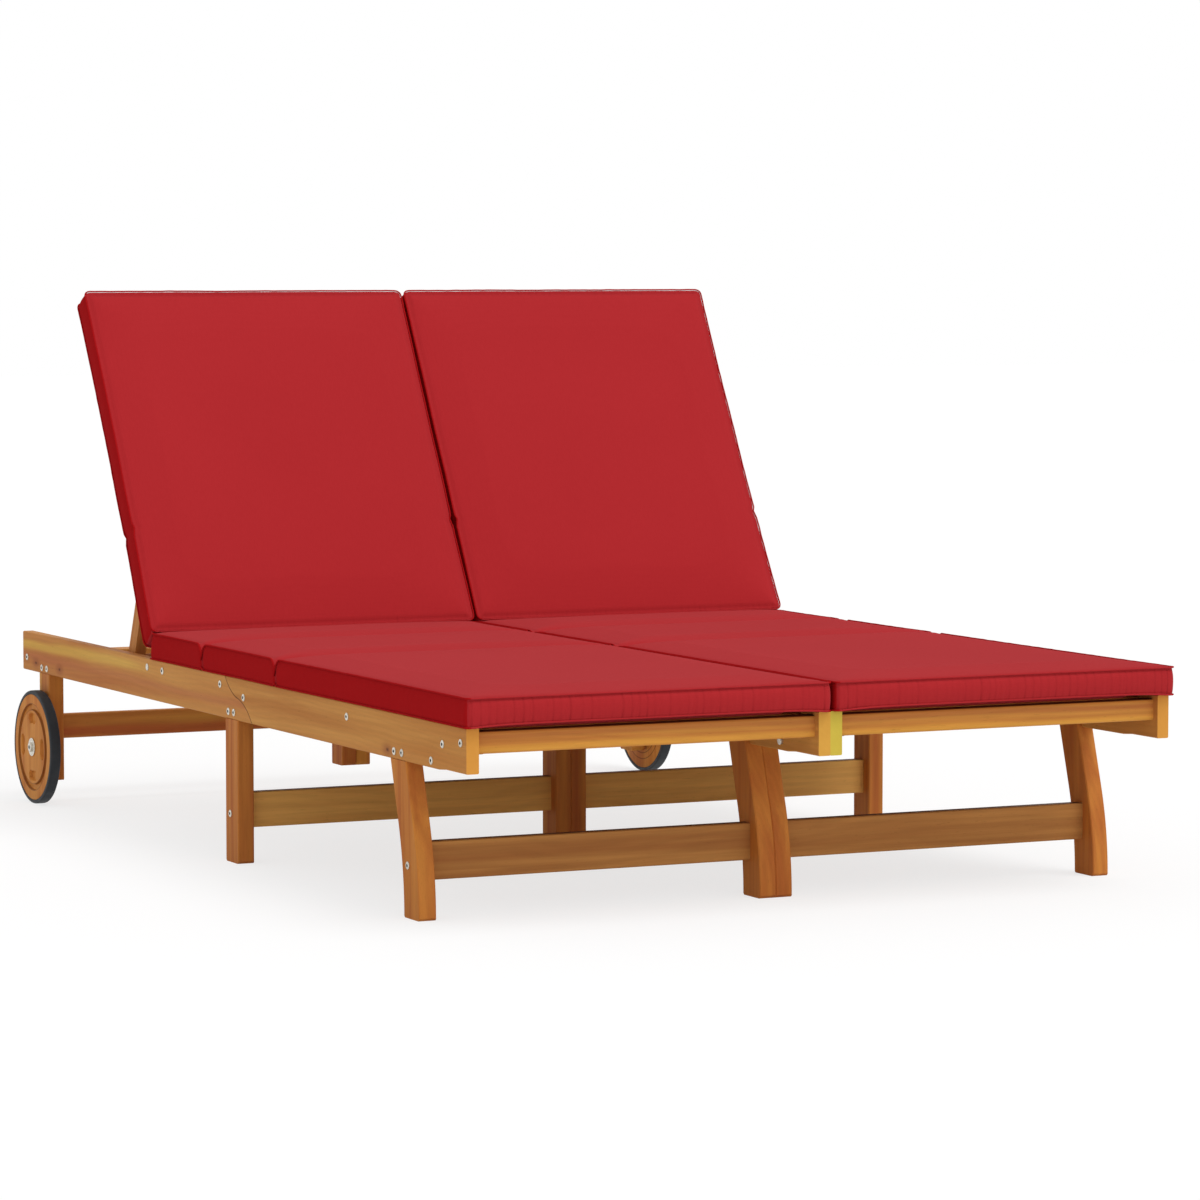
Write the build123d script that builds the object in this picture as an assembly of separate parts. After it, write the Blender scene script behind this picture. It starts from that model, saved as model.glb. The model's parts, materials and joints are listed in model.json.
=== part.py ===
from build123d import *
import os
from math import cos, radians, sin, tan

# A double chaise lounger for a patio: two wooden loungers bolted side by side, each with its
# own reclining backrest on a folding prop, a wheel at the outer rear corner and a loose
# cushion. Millimetres, +Z up. The model is drawn with Y = 0 at the foot end of the side rails
# and X = 0 on the plane where the two loungers meet, and moved to the middle when it is saved.

# Driving dimensions of the frame
lounger_width = 600
rail_length = 1977
rail_top = 304
rail_height = 69.5
rail_thickness = 20
slat_drop = 6                 # how far the slats lie below the top of the rails
seat_clearance = 0.3          # room left where a loose or moving piece lies on another
hole_clearance = 0.05         # radial room of every bolt and screw in its hole
cut_overrun = 5               # how far a cutting tool runs past the face it opens

# Side rails: the front and the rear half meet in an S-shaped joint over the middle leg
joint_setback = 1015          # from the head end of the rails to the top of the joint
joint_bend_run = 50           # from there towards the foot end
joint_bend_drop = 32
joint_foot_run = 119
joint_gap = 0.8
joint_upper_sag = 4.5         # how far the upper arc of the joint leaves its chord
joint_lower_sag = 7.5
toe_relief = 2.2              # the front end of the rail is this much lower in height
toe_relief_start = 75
toe_relief_end = 100

# Legs: half-lapped into the rails from inside
leg_thickness = 28
lap_thickness = 14
lap_drop = 43                 # top of the lap tongue below the top of the rail
front_leg_y = 172
front_leg_width = 57.5
front_leg_bend_height = 140   # the sweep ends here and the leg goes on straight
front_leg_lean = 17           # degrees, tops towards the head end
middle_leg_run = 56           # from the top of the joint towards the foot end
middle_leg_width = 55
rear_leg_setback = 141        # from the head end of the rails
rear_leg_width = 52
rear_leg_lift = 42.6          # the rear legs stop above the ground: the wheels carry there
foot_chamfer = 4
edge_easing = 1.5             # taken off the long edges of rails, legs, stretchers and head bar

# Stretchers between the legs of a pair
stretcher_thickness = 20
stretcher_height = 58
stretcher_lift = 56.5
front_stretcher_inset = 33.5  # from the front of the leg that carries it
middle_stretcher_inset = 20
rear_stretcher_inset = 16
rear_stretcher_height = 43.7
rear_stretcher_lift = 117

# Bars across each lounger
front_bar_setback = 12
front_bar_thickness = 18
front_bar_height = 34
front_bar_round = 6
head_bar_width = 45
head_bar_height = 20
head_bar_setback = 0.5
tie_bar_thickness = 20
front_tie_bar_y = 447
middle_tie_bar_run = 21       # from the top of the joint towards the head end
rear_tie_bar_run = 73         # from the backrest's hinge towards the foot end
tie_bar_heights = (32, 20, 20)

# Seat slats on battens, in three fields between the bars
slat_width = 50
slat_thickness = 14
slat_easing = 2
slat_pitch = 73               # least distance from one slat to the next
batten_thickness = 20
batten_height = 22

# Backrest, drawn flat with its hinge axis at the origin, Y along it and Z out of its face
recline_angle = 60.4          # degrees above flat in the steepest notch
hinge_setback = 652           # from the head end of the rails to the hinge axis
hinge_drop = 15
face_offset = 9               # face of stiles and slats above the hinge axis when flat
stile_thickness = 20
stile_depth = 30
stile_heel = 14               # how far the stiles run on past the hinge
stile_reach = 640
stile_set_in = 44             # from the lounger's edge to the stile, leaves room for the prop
back_slat_count = 9
back_slat_first = 10
back_slat_last_end = 632

# Prop: two legs and a round tie, hinged outside the stiles, its feet standing in the racks
prop_pivot_reach = 158        # from the backrest hinge to the prop's pivot, along the stile
prop_pivot_drop = 11
prop_length = 158             # from its pivot to the centre of its foot
prop_fold_angle = 7           # degrees below the backrest when folded flat
prop_thickness = 20
prop_depth = 30
prop_side_gap = 2
prop_tie_radius = 9
prop_tie_reach = 140          # from the pivot to the tie
prop_tie_offset = 3

# Racks: notched boards inside the rails, behind the cheeks that carry the backrest's hinge
rack_thickness = 20
cheek_front_run = 63          # from the hinge axis towards the foot end
cheek_rear_run = 31           # from the hinge axis towards the head end
rack_end_run = 299
rack_floor_drop = 66
rack_clearance = 0.4
rack_end_drop = 59
notch_depth = 5
notch_sides = 12
notch_recline_angles = (60.4, 50, 39, 26)
rack_crest_angles = (66, 44.5, 20)

# Bolts and screws
shank_sides = 6               # flats of a bolt's shank, and of its hole, where nothing turns
head_sides = 10               # flats of heads and washers
hole_sides = 12               # flats of a hole round a turned bolt that is fast in it
dowel_sides = 16
screw_radius = 3
screw_head_radius = 6
screw_head_height = 1.6
screw_length = 34
short_screw_length = 18
leg_bolt_length = 26
pivot_bolt_radius = 4
pivot_head_radius = 5.5
pivot_head_height = 3.5
pivot_bolt_cover = 2          # wood left over the blind end of a pivot bolt
washer_radius = 9
joining_bolt_radius = 4
joining_head_radius = 7
joining_head_height = 4
front_joining_bolt_y = 120
second_joining_bolt_run = 143 # from the foot of the rail joint towards the foot end
third_joining_bolt_run = 165  # from the backrest's hinge towards the foot end
rear_joining_setback = 227    # from the head end of the rails
joining_bolt_drop = 54

# Screws and bolts of the outer rails and legs: drops are below the top of the rail
front_screw_inset = 8         # from the front of the front bar
front_screw_drop = 23
toe_screw_y = 85
toe_screw_drop = 30.5
tie_screw_drops = (22, 16, 16)
joint_screw_run = 83          # from the top of the joint towards the foot end
joint_screw_drop = 29.5
head_screw_drop = 46
short_screw_y = 126
short_screw_drop = 58.6
leg_bolt_insets = {"front": (63, 92), "middle": (16, 40), "rear": (10, 37)}
leg_bolt_drops = {"front": 57.7, "middle": 57.5, "rear": 59.5}
front_stretcher_screw_inset = 8.5
middle_stretcher_screw_inset = 14
stretcher_screw_rise = 23     # above the bottom of the stretcher

# Wheels on the outer rear legs
wheel_radius = 102.5
wheel_width = 19
wheel_gap = 4.4               # from the outer face of the leg to the wheel
tyre_wall = 7
tyre_seat_gap = 0.1
groove_inner_share = 0.7      # of the wooden disc's radius
groove_outer_share = 0.82
groove_depth = 3
groove_sides = 48
recess_circle_share = 0.55
recess_length = 38
recess_width = 18
recess_depth = 4
recess_count = 4
recess_end_turns = (45, 90, 135)  # corners of its rounded ends, in degrees
axle_radius = 5
axle_head_radius = 8.5
axle_head_height = 4
axle_washer_radius = 16.5
axle_washer_thickness = 2
washer_sides = 20
axle_nut_radius = 8.5
axle_nut_height = 6

# Cushions
cushion_extra_width = 6       # wider than its lounger
cushion_inner_gap = 1         # from the meeting plane to the cushion's inner side
cushion_toe_overhang = 13
cushion_border = 43.5         # height of the border from rail to top seam
cushion_crown = 6
crown_end_share = 0.15        # of the crown, at the very ends
crown_seam_share = 0.4        # beside the ends and in the channels
crown_quarter_share = 0.9
draw_in_quarter_share = 0.75
cushion_draw_in = 5
cushion_side_bulge = 3
cushion_end_round = 7
seat_cushion_run = 26         # from the backrest's hinge to the end of the seat cushion
seat_channel_runs = (566, 241)  # from that end to the sewn channels
channel_depth = 19
channel_half_width = 20
belly_side_gap = 8            # from the rail's inner face to the belly between the rails
back_cushion_start = 44       # along the backrest from the hinge
back_cushion_length = 656

# Worked out from the sizes above
rail_bottom = rail_top - rail_height
slat_top = rail_top - slat_drop
slat_bottom = slat_top - slat_thickness
batten_bottom = slat_bottom - batten_height
hinge_z = rail_top - hinge_drop
rail_inner = lounger_width - rail_thickness
lap_top = rail_top - lap_drop
disc_radius = wheel_radius - tyre_wall
cushion_width = lounger_width + cushion_extra_width
joint_top_y = rail_length - joint_setback
joint_bend_y = joint_top_y - joint_bend_run
joint_foot_y = joint_top_y - joint_foot_run
middle_leg_y = joint_top_y - middle_leg_run
rear_leg_y = rail_length - rear_leg_setback
wheel_y = rear_leg_y + rear_leg_width / 2
front_stretcher_y = front_leg_y + front_stretcher_inset
middle_stretcher_y = middle_leg_y + middle_stretcher_inset
rear_stretcher_y = rear_leg_y + rear_stretcher_inset
hinge_y = rail_length - hinge_setback
tie_bar_centres_y = (front_tie_bar_y, joint_top_y + middle_tie_bar_run, hinge_y - rear_tie_bar_run)
cheek_front_y = hinge_y - cheek_front_run
cheek_rear_y = hinge_y + cheek_rear_run
rack_end_y = hinge_y + rack_end_run
joining_bolts_y = (front_joining_bolt_y, joint_foot_y - second_joining_bolt_run,
                   hinge_y - third_joining_bolt_run, rail_length - rear_joining_setback)
seat_cushion_end_y = hinge_y - seat_cushion_run
seat_channels_y = tuple(seat_cushion_end_y - run for run in seat_channel_runs)
leg_fronts_y = {"front": front_leg_y, "middle": middle_leg_y, "rear": rear_leg_y}
overall_middle_y = (rail_length - cushion_toe_overhang) / 2
sides = {"left": -1, "right": 1}


def slab(side, near, far, y_from, y_to, z_from, z_to):
    """A plain board between two distances from the meeting plane of the loungers."""
    middle = Pos(side * (near + far) / 2, (y_from + y_to) / 2, (z_from + z_to) / 2)
    return middle * Box(abs(far - near), y_to - y_from, z_to - z_from)


def across(side, near, far, face):
    """Thicken a side view, drawn as (Y, Z), between two distances from the meeting plane."""
    start = min(side * near, side * far)
    return Pos(start, 0, 0) * extrude(Plane.YZ * face, amount=abs(far - near))


def rod(side, near, far, y, z, radius):
    """A round bar across the lounger between two distances from the meeting plane."""
    return Pos(side * (near + far) / 2, y, z) * Rot(0, 90, 0) * Cylinder(radius, abs(far - near))


def fixed_rod(side, near, far, y, z, radius, sides=shank_sides):
    """The same bar with flats, for what nothing turns on."""
    return across(side, near, far, Pos(y, z) * RegularPolygon(radius, sides))


def fixed_hole(side, near, far, y, z, radius):
    """A hole with flats round a turned bolt that is fast in it."""
    face = RegularPolygon(radius + hole_clearance, hole_sides, major_radius=False)
    return across(side, near, far, Pos(y, z) * face)


def face_of(points):
    """A flat face inside a closed polygon."""
    return make_face(Polyline(*points, close=True))


def headed_bolt(side, head_from, tip, y, z, radius, head_radius, head_height, shank=rod):
    """A bolt whose head lies on the face at head_from, and whose shank ends at tip."""
    outward = 1 if head_from > tip else -1
    head = fixed_rod(side, head_from, head_from + outward * head_height, y, z, head_radius,
                     head_sides)
    return head + shank(side, head_from, tip, y, z, radius)


def eased(board, axis):
    """Take the long edges of a board off."""
    edges = board.edges().filter_by(axis).filter_by(lambda edge: edge.length > rail_height)
    return chamfer(edges, edge_easing)


def joint_line(shift):
    """The S-shaped line where the rail halves meet, from the rail's top to its bottom."""
    top = (joint_top_y + shift, rail_top)
    bend = (joint_bend_y + shift, rail_top - joint_bend_drop)
    foot = (joint_foot_y + shift, rail_bottom)
    upper = SagittaArc(top, bend, joint_upper_sag)
    lower = SagittaArc(bend, foot, -joint_lower_sag)
    return upper, lower


def front_rail_face():
    upper, lower = joint_line(-joint_gap / 2)
    outline = Polyline(
        lower @ 1,
        (toe_relief_end, rail_bottom),
        (toe_relief_start, rail_bottom + toe_relief),
        (0, rail_bottom + toe_relief),
        (0, rail_top),
        upper @ 0,
    )
    return make_face(Curve() + [upper, lower, outline])


def rear_rail_face():
    upper, lower = joint_line(joint_gap / 2)
    outline = Polyline(lower @ 1, (rail_length, rail_bottom), (rail_length, rail_top), upper @ 0)
    return make_face(Curve() + [upper, lower, outline])


def front_leg_face(top):
    """The swept front leg seen from the side, from the ground up to a height."""
    lean = radians(front_leg_lean)
    sweep_radius = front_leg_bend_height / sin(lean)
    sweep_shift = sweep_radius * (1 - cos(lean))
    half_rise = sweep_radius * sin(lean / 2)
    half_shift = sweep_radius * (1 - cos(lean / 2))
    top_shift = sweep_shift + (top - front_leg_bend_height) * tan(lean)
    front = front_leg_y
    back = front_leg_y + front_leg_width
    chamfer_shift = foot_chamfer
    front_arc = ThreePointArc(
        (front, foot_chamfer),
        (front + half_shift, half_rise),
        (front + sweep_shift, front_leg_bend_height),
    )
    back_arc = ThreePointArc(
        (back + sweep_shift, front_leg_bend_height),
        (back + half_shift, half_rise),
        (back, foot_chamfer),
    )
    upper = Polyline(front_arc @ 1, (front + top_shift, top), (back + top_shift, top), back_arc @ 0)
    lower = Polyline(
        back_arc @ 1, (back - chamfer_shift, 0), (front + chamfer_shift, 0), front_arc @ 0
    )
    return make_face(Curve() + [front_arc, upper, back_arc, lower])


def straight_leg_face(front, width, bottom, top):
    """A straight leg seen from the side, with its foot corners taken off."""
    back = front + width
    return face_of([
        (front, bottom + foot_chamfer),
        (front + foot_chamfer, bottom),
        (back - foot_chamfer, bottom),
        (back, bottom + foot_chamfer),
        (back, top),
        (front, top),
    ])


leg_faces = {
    "front": front_leg_face(lap_top),
    "middle": straight_leg_face(middle_leg_y, middle_leg_width, 0, lap_top),
    "rear": straight_leg_face(rear_leg_y, rear_leg_width, rear_leg_lift, lap_top),
}


def rail_span(place):
    """Near and far faces of the outer or inner rail, from the meeting plane."""
    return (rail_inner, lounger_width) if place == "outer" else (rail_thickness, 0)


def leg_span(place):
    """Inner face and rail-side face of a leg, from the meeting plane."""
    return (lounger_width - leg_thickness, lounger_width) if place == "outer" else (leg_thickness, 0)


def leg(side, place, pair):
    """A leg flush with the rail's face, thinned to a tongue where it laps behind the rail."""
    inner, outer = leg_span(place)
    tongue_face = inner + lap_thickness * (1 if outer > inner else -1)
    whole = across(side, inner, outer, leg_faces[pair])
    upright = whole.edges().filter_by(
        lambda edge: abs(edge.start_point().Z - edge.end_point().Z) > leg_thickness)
    whole = chamfer(upright, edge_easing)
    upper_zone = slab(side, tongue_face, outer, 0, rail_length, rail_bottom, rail_top)
    return whole - upper_zone - drills(side, place)


def lap_pocket(side, place, pair):
    """What a leg's tongue takes out of the rail."""
    inner, outer = leg_span(place)
    tongue_face = inner + lap_thickness * (1 if outer > inner else -1)
    rail_zone = slab(side, inner, tongue_face, 0, rail_length, 0, lap_top)
    return across(side, inner, tongue_face, leg_faces[pair]) & rail_zone


def screw_holes(side, places, depth):
    """Holes from the outer face of the lounger, as (Y, Z) places."""
    outer = lounger_width + cut_overrun
    radius = screw_radius + hole_clearance
    return [fixed_rod(side, lounger_width - depth, outer, y, z, radius) for y, z in places]


def rail_screw_places():
    """Places, as (Y, Z), of the long screws of an outer rail."""
    head_bar_y = rail_length - head_bar_setback - head_bar_width / 2
    places = [
        (front_bar_setback + front_screw_inset, rail_top - front_screw_drop),
        (toe_screw_y, rail_top - toe_screw_drop),
        (joint_top_y - joint_screw_run, rail_top - joint_screw_drop),
        (head_bar_y, rail_top - head_screw_drop),
    ]
    places += [(y, rail_top - drop) for y, drop in zip(tie_bar_centres_y, tie_screw_drops)]
    return places


def short_screw_places():
    """Place, as (Y, Z), of the short screw near the toe."""
    return [(short_screw_y, rail_top - short_screw_drop)]


def leg_bolt_places():
    """Places, as (Y, Z), of the two bolts through each leg's lap."""
    return [(leg_fronts_y[pair] + inset, rail_top - leg_bolt_drops[pair])
            for pair, insets in leg_bolt_insets.items() for inset in insets]


def stretcher_screw_places():
    """Places, as (Y, Z), of the screws through the outer legs into the stretchers."""
    height = stretcher_lift + stretcher_screw_rise
    return [(front_stretcher_y + front_stretcher_screw_inset, height),
            (middle_stretcher_y + middle_stretcher_screw_inset, height)]


def drills(side, place):
    """Every hole bored into the frame from the outer face or through the meeting rails."""
    if place == "inner":
        radius = joining_bolt_radius + hole_clearance
        z = rail_top - joining_bolt_drop
        holes = [fixed_rod(side, -cut_overrun, leg_thickness, y, z, radius)
                 for y in joining_bolts_y]
        holes.append(fixed_hole(side, pivot_bolt_cover - hole_clearance, leg_thickness, hinge_y,
                                hinge_z, pivot_bolt_radius))
        return holes
    holes = screw_holes(side, rail_screw_places(), screw_length + hole_clearance)
    holes += screw_holes(side, short_screw_places(), short_screw_length + hole_clearance)
    holes += screw_holes(side, leg_bolt_places(), leg_bolt_length + hole_clearance)
    holes += screw_holes(side, stretcher_screw_places(), screw_length + hole_clearance)
    holes.append(fixed_hole(side, rail_inner - cut_overrun, lounger_width + cut_overrun, hinge_y,
                            hinge_z, pivot_bolt_radius))
    holes.append(fixed_hole(side, lounger_width - leg_thickness - cut_overrun,
                            lounger_width + cut_overrun, wheel_y, wheel_radius, axle_radius))
    return holes


def rail(side, place, half):
    """One half of a side rail, with pockets for the leg tongues and its screw holes."""
    near, far = rail_span(place)
    if half == "front":
        board = across(side, near, far, front_rail_face())
        pairs = ("front",)
    else:
        board = across(side, near, far, rear_rail_face())
        pairs = ("middle", "rear")
    board = eased(board, Axis.Y)
    for pair in pairs:
        board -= lap_pocket(side, place, pair)
    return board - drills(side, place)


def stretcher(side, y, lift, height):
    """A board between the legs of a pair, screwed through the outer leg."""
    board = slab(side, leg_thickness, lounger_width - leg_thickness, y, y + stretcher_thickness,
                 lift, lift + height)
    holes = screw_holes(side, stretcher_screw_places(), screw_length + hole_clearance)
    return eased(board, Axis.X) - holes


def front_bar(side):
    """The rounded bar across the foot end."""
    y = front_bar_setback
    board = slab(side, rail_thickness, rail_inner, y, y + front_bar_thickness,
                 slat_top - front_bar_height, slat_top)
    front_edges = board.edges().filter_by(Axis.X).group_by(Axis.Y)[0]
    board = fillet(front_edges, front_bar_round)
    return board - screw_holes(side, rail_screw_places(), screw_length + hole_clearance)


def head_bar(side):
    """The flat bar across the head end that carries the backrest when it lies flat."""
    top = hinge_z + face_offset - stile_depth - seat_clearance
    end = rail_length - head_bar_setback
    board = slab(side, rail_thickness, rail_inner, end - head_bar_width, end,
                 top - head_bar_height, top)
    holes = screw_holes(side, rail_screw_places(), screw_length + hole_clearance)
    return eased(board, Axis.X) - holes


def tie_bars(side):
    """The bars that tie the side rails together between the slat fields."""
    bars = []
    for y, height in zip(tie_bar_centres_y, tie_bar_heights):
        bar = slab(side, rail_thickness, rail_inner, y - tie_bar_thickness / 2,
                   y + tie_bar_thickness / 2, slat_top - height, slat_top)
        bars.append(bar - screw_holes(side, rail_screw_places(), screw_length + hole_clearance))
    return bars


def slat_fields():
    """Start and end of each field of seat slats."""
    starts = [front_bar_setback + front_bar_thickness]
    starts += [y + tie_bar_thickness / 2 for y in tie_bar_centres_y[:-1]]
    ends = [y - tie_bar_thickness / 2 for y in tie_bar_centres_y]
    return list(zip(starts, ends))


def battens(side):
    """The battens inside the rails that the seat slats lie on."""
    pieces = []
    for start, end in slat_fields():
        for near, far in ((rail_inner - batten_thickness, rail_inner),
                          (rail_thickness, rail_thickness + batten_thickness)):
            board = slab(side, near, far, start, end, batten_bottom, slat_bottom)
            pieces.append(board - screw_holes(side, rail_screw_places(),
                                              screw_length + hole_clearance))
    return pieces


def eased_slat(side, near, far, y_from, y_to, z_from, z_to):
    """A slat whose long top edges are taken off."""
    board = slab(side, near, far, y_from, y_to, z_from, z_to)
    top_edges = board.edges().filter_by(Axis.X).group_by(Axis.Z)[-1]
    return chamfer(top_edges, slat_easing)


def seat_slats(side):
    """The slats of the seat, spread evenly over each field."""
    slats = []
    for start, end in slat_fields():
        count = int((end - start) / slat_pitch)
        gap = (end - start - count * slat_width) / (count + 1)
        for number in range(count):
            y = start + gap + number * (slat_width + gap)
            slats.append(eased_slat(side, rail_thickness, rail_inner, y, y + slat_width,
                                    slat_bottom, slat_top))
    return slats


def prop_path(recline):
    """Centre of the prop's foot, as (Y, Z), when the backrest stands at an angle."""
    back = radians(recline)
    prop = radians(recline + prop_fold_angle)
    y = hinge_y + prop_pivot_reach * cos(back) + prop_pivot_drop * sin(back) + prop_length * cos(prop)
    z = hinge_z + prop_pivot_reach * sin(back) - prop_pivot_drop * cos(back) - prop_length * sin(prop)
    return y, z


def rack_face():
    """A rack seen from the side: a crest just under the path of the prop's foot, with notches."""
    foot_radius = prop_depth / 2
    floor = rail_top - rack_floor_drop
    crest = []
    for recline in rack_crest_angles:
        y, z = prop_path(recline)
        crest.append((y, z - foot_radius - rack_clearance))
    outline = face_of([
        (cheek_rear_y, floor),
        (cheek_rear_y, crest[0][1]),
        crest[0],
        crest[1],
        crest[2],
        (rack_end_y, rail_top - rack_end_drop),
        (rack_end_y, floor),
    ])
    for recline in notch_recline_angles:
        y, z = prop_path(recline)
        outline -= Pos(y, z - notch_depth) * RegularPolygon(foot_radius + seat_clearance,
                                                            notch_sides, major_radius=False)
    return outline


def racks(side):
    """The notched boards inside both rails of a lounger."""
    return [across(side, rail_inner - rack_thickness, rail_inner, rack_face()),
            across(side, rail_thickness, rail_thickness + rack_thickness, rack_face())]


def hinge_cheeks(side):
    """The blocks in front of the racks that the hinge bolts of the backrest pass through."""
    hole = fixed_hole(side, 0, lounger_width, hinge_y, hinge_z, pivot_bolt_radius)
    cheeks = []
    for near, far in ((rail_inner - rack_thickness, rail_inner),
                      (rail_thickness, rail_thickness + rack_thickness)):
        cheek = slab(side, near, far, cheek_front_y, cheek_rear_y,
                     rail_top - rack_floor_drop, slat_top)
        cheeks.append(cheek - hole)
    return cheeks


def reclined(shape):
    """Turn a piece of the backrest, drawn flat at its hinge axis, up to its rest place."""
    return Pos(0, hinge_y, hinge_z) * Rot(recline_angle, 0, 0) * shape


def stile_spans():
    """Near and far faces of the two stiles of a backrest, from the meeting plane."""
    far = lounger_width - stile_set_in
    return ((stile_set_in, stile_set_in + stile_thickness), (far - stile_thickness, far))


def stiles(side):
    """The two long sides of a backrest, with hinge and prop holes and a rounded heel."""
    pieces = []
    heel_radius = stile_depth / 2
    bottom = face_offset - stile_depth
    for near, far in stile_spans():
        body = slab(side, near, far, heel_radius - stile_heel, stile_reach, bottom, face_offset)
        heel = rod(side, near, far, heel_radius - stile_heel, face_offset - heel_radius, heel_radius)
        hinge_hole = rod(side, 0, lounger_width, 0, 0, pivot_bolt_radius + hole_clearance)
        prop_hole = fixed_hole(side, 0, lounger_width, prop_pivot_reach, -prop_pivot_drop,
                               pivot_bolt_radius)
        pieces.append(reclined(body + heel - hinge_hole - prop_hole))
    return pieces


def back_slats(side):
    """The slats between the stiles of a backrest."""
    (_, near), (far, _) = stile_spans()
    pitch = (back_slat_last_end - slat_width - back_slat_first) / (back_slat_count - 1)
    slats = []
    for number in range(back_slat_count):
        y = back_slat_first + number * pitch
        slat = eased_slat(side, near, far, y, y + slat_width, face_offset - slat_thickness,
                          face_offset)
        slats.append(reclined(slat))
    return slats


def prop_spans():
    """Near and far faces of the two prop legs, from the meeting plane."""
    near = rail_thickness + prop_side_gap
    far = rail_inner - prop_side_gap
    return ((near, near + prop_thickness), (far - prop_thickness, far))


def propped(shape):
    """Move a piece of the prop, drawn flat at its pivot, to its rest place on the backrest."""
    on_stile = Pos(0, prop_pivot_reach, -prop_pivot_drop)
    return reclined(on_stile * Rot(-2 * recline_angle - prop_fold_angle, 0, 0) * shape)


def prop_legs(side):
    """The two legs of a prop, rounded at pivot and foot, bored for the pivot and the tie."""
    pieces = []
    radius = prop_depth / 2
    for near, far in prop_spans():
        body = slab(side, near, far, 0, prop_length, -radius, radius)
        body += rod(side, near, far, 0, 0, radius)
        body += rod(side, near, far, prop_length, 0, radius)
        body -= rod(side, 0, lounger_width, 0, 0, pivot_bolt_radius + hole_clearance)
        body -= fixed_rod(side, 0, lounger_width, prop_tie_reach, -prop_tie_offset,
                          prop_tie_radius + hole_clearance, dowel_sides)
        pieces.append(propped(body))
    return pieces


def prop_tie(side):
    """The dowel that joins the legs of a prop near their feet."""
    (near, _), (_, far) = prop_spans()
    return propped(fixed_rod(side, near, far, prop_tie_reach, -prop_tie_offset, prop_tie_radius,
                             dowel_sides))


def hinge_bolts(side):
    """Bolt and washer of both backrest hinges: rail, cheek and stile on one axis."""
    solids = []
    (inner_near, inner_far), (outer_near, outer_far) = stile_spans()
    outer = headed_bolt(side, lounger_width, outer_near + pivot_bolt_cover, hinge_y, hinge_z,
                        pivot_bolt_radius, screw_head_radius, screw_head_height)
    inner = headed_bolt(side, inner_far + seat_clearance, pivot_bolt_cover, hinge_y, hinge_z,
                        pivot_bolt_radius, pivot_head_radius, pivot_head_height)
    solids += [outer, inner]
    washer_hole = fixed_hole(side, 0, lounger_width, hinge_y, hinge_z, pivot_bolt_radius)
    for rack_face_x, stile_face_x in ((rail_inner - rack_thickness, outer_far),
                                      (rail_thickness + rack_thickness, inner_near)):
        low = min(rack_face_x, stile_face_x)
        high = max(rack_face_x, stile_face_x)
        washer = fixed_rod(side, low + seat_clearance, high - seat_clearance, hinge_y, hinge_z,
                           washer_radius, head_sides)
        solids.append(washer - washer_hole)
    return solids


def prop_bolts(side):
    """The bolts that the prop turns on, headed inside the stiles and blind in the prop legs."""
    (inner_near, inner_far), (outer_near, outer_far) = stile_spans()
    (leg_near, _), (_, leg_far) = prop_spans()
    bolts = []
    for head_face, tip in ((outer_near, leg_far - pivot_bolt_cover),
                           (inner_far, leg_near + pivot_bolt_cover)):
        bolt = headed_bolt(side, head_face, tip, prop_pivot_reach, -prop_pivot_drop,
                           pivot_bolt_radius, pivot_head_radius, pivot_head_height)
        bolts.append(reclined(bolt))
    return bolts


def outer_screws(places, length):
    """Screws in the outer faces of both loungers."""
    screws = []
    for side in sides.values():
        for y, z in places:
            screws.append(headed_bolt(side, lounger_width, lounger_width - length, y, z,
                                      screw_radius, screw_head_radius, screw_head_height,
                                      fixed_rod))
    return screws


def joining_bolts():
    """The bolts that hold the two inner rails together."""
    z = rail_top - joining_bolt_drop
    bolts = []
    for y in joining_bolts_y:
        bolt = fixed_rod(1, -rail_thickness, rail_thickness, y, z, joining_bolt_radius)
        for side in sides.values():
            bolt += fixed_rod(side, rail_thickness, rail_thickness + joining_head_height, y, z,
                              joining_head_radius, head_sides)
        bolts.append(bolt)
    return bolts


def wheel_span():
    """Inner and outer faces of a wheel, from the meeting plane."""
    return lounger_width + wheel_gap, lounger_width + wheel_gap + wheel_width


def recess_corner(turn, share_out, share_on):
    """A corner of a recess, beside the point of its middle line at a turn about the axle."""
    circle = disc_radius * recess_circle_share + share_out * recess_width / 2
    onward = share_on * recess_width / 2
    return circle * cos(turn) - onward * sin(turn), circle * sin(turn) + onward * cos(turn)


def recess_face():
    """A kidney-shaped recess: bent round the axle, with flats for its rounded ends."""
    half_arc = (recess_length - recess_width) / 2 / (disc_radius * recess_circle_share)
    corners = [recess_corner(turn, 1, 0) for turn in (-half_arc, 0, half_arc)]
    corners += [recess_corner(half_arc, cos(radians(end)), sin(radians(end)))
                for end in recess_end_turns]
    corners += [recess_corner(turn, -1, 0) for turn in (half_arc, 0, -half_arc)]
    corners += [recess_corner(-half_arc, -cos(radians(end)), -sin(radians(end)))
                for end in recess_end_turns]
    return face_of(corners)


def recess_cutters(side, floor, face):
    """What the recesses take out of a wheel's face."""
    kidney = recess_face()
    cutters = []
    for number in range(recess_count):
        turned = Pos(wheel_y, wheel_radius) * Rot(0, 0, number * 360 / recess_count) * kidney
        cutters.append(across(side, floor, face, turned))
    return cutters


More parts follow.
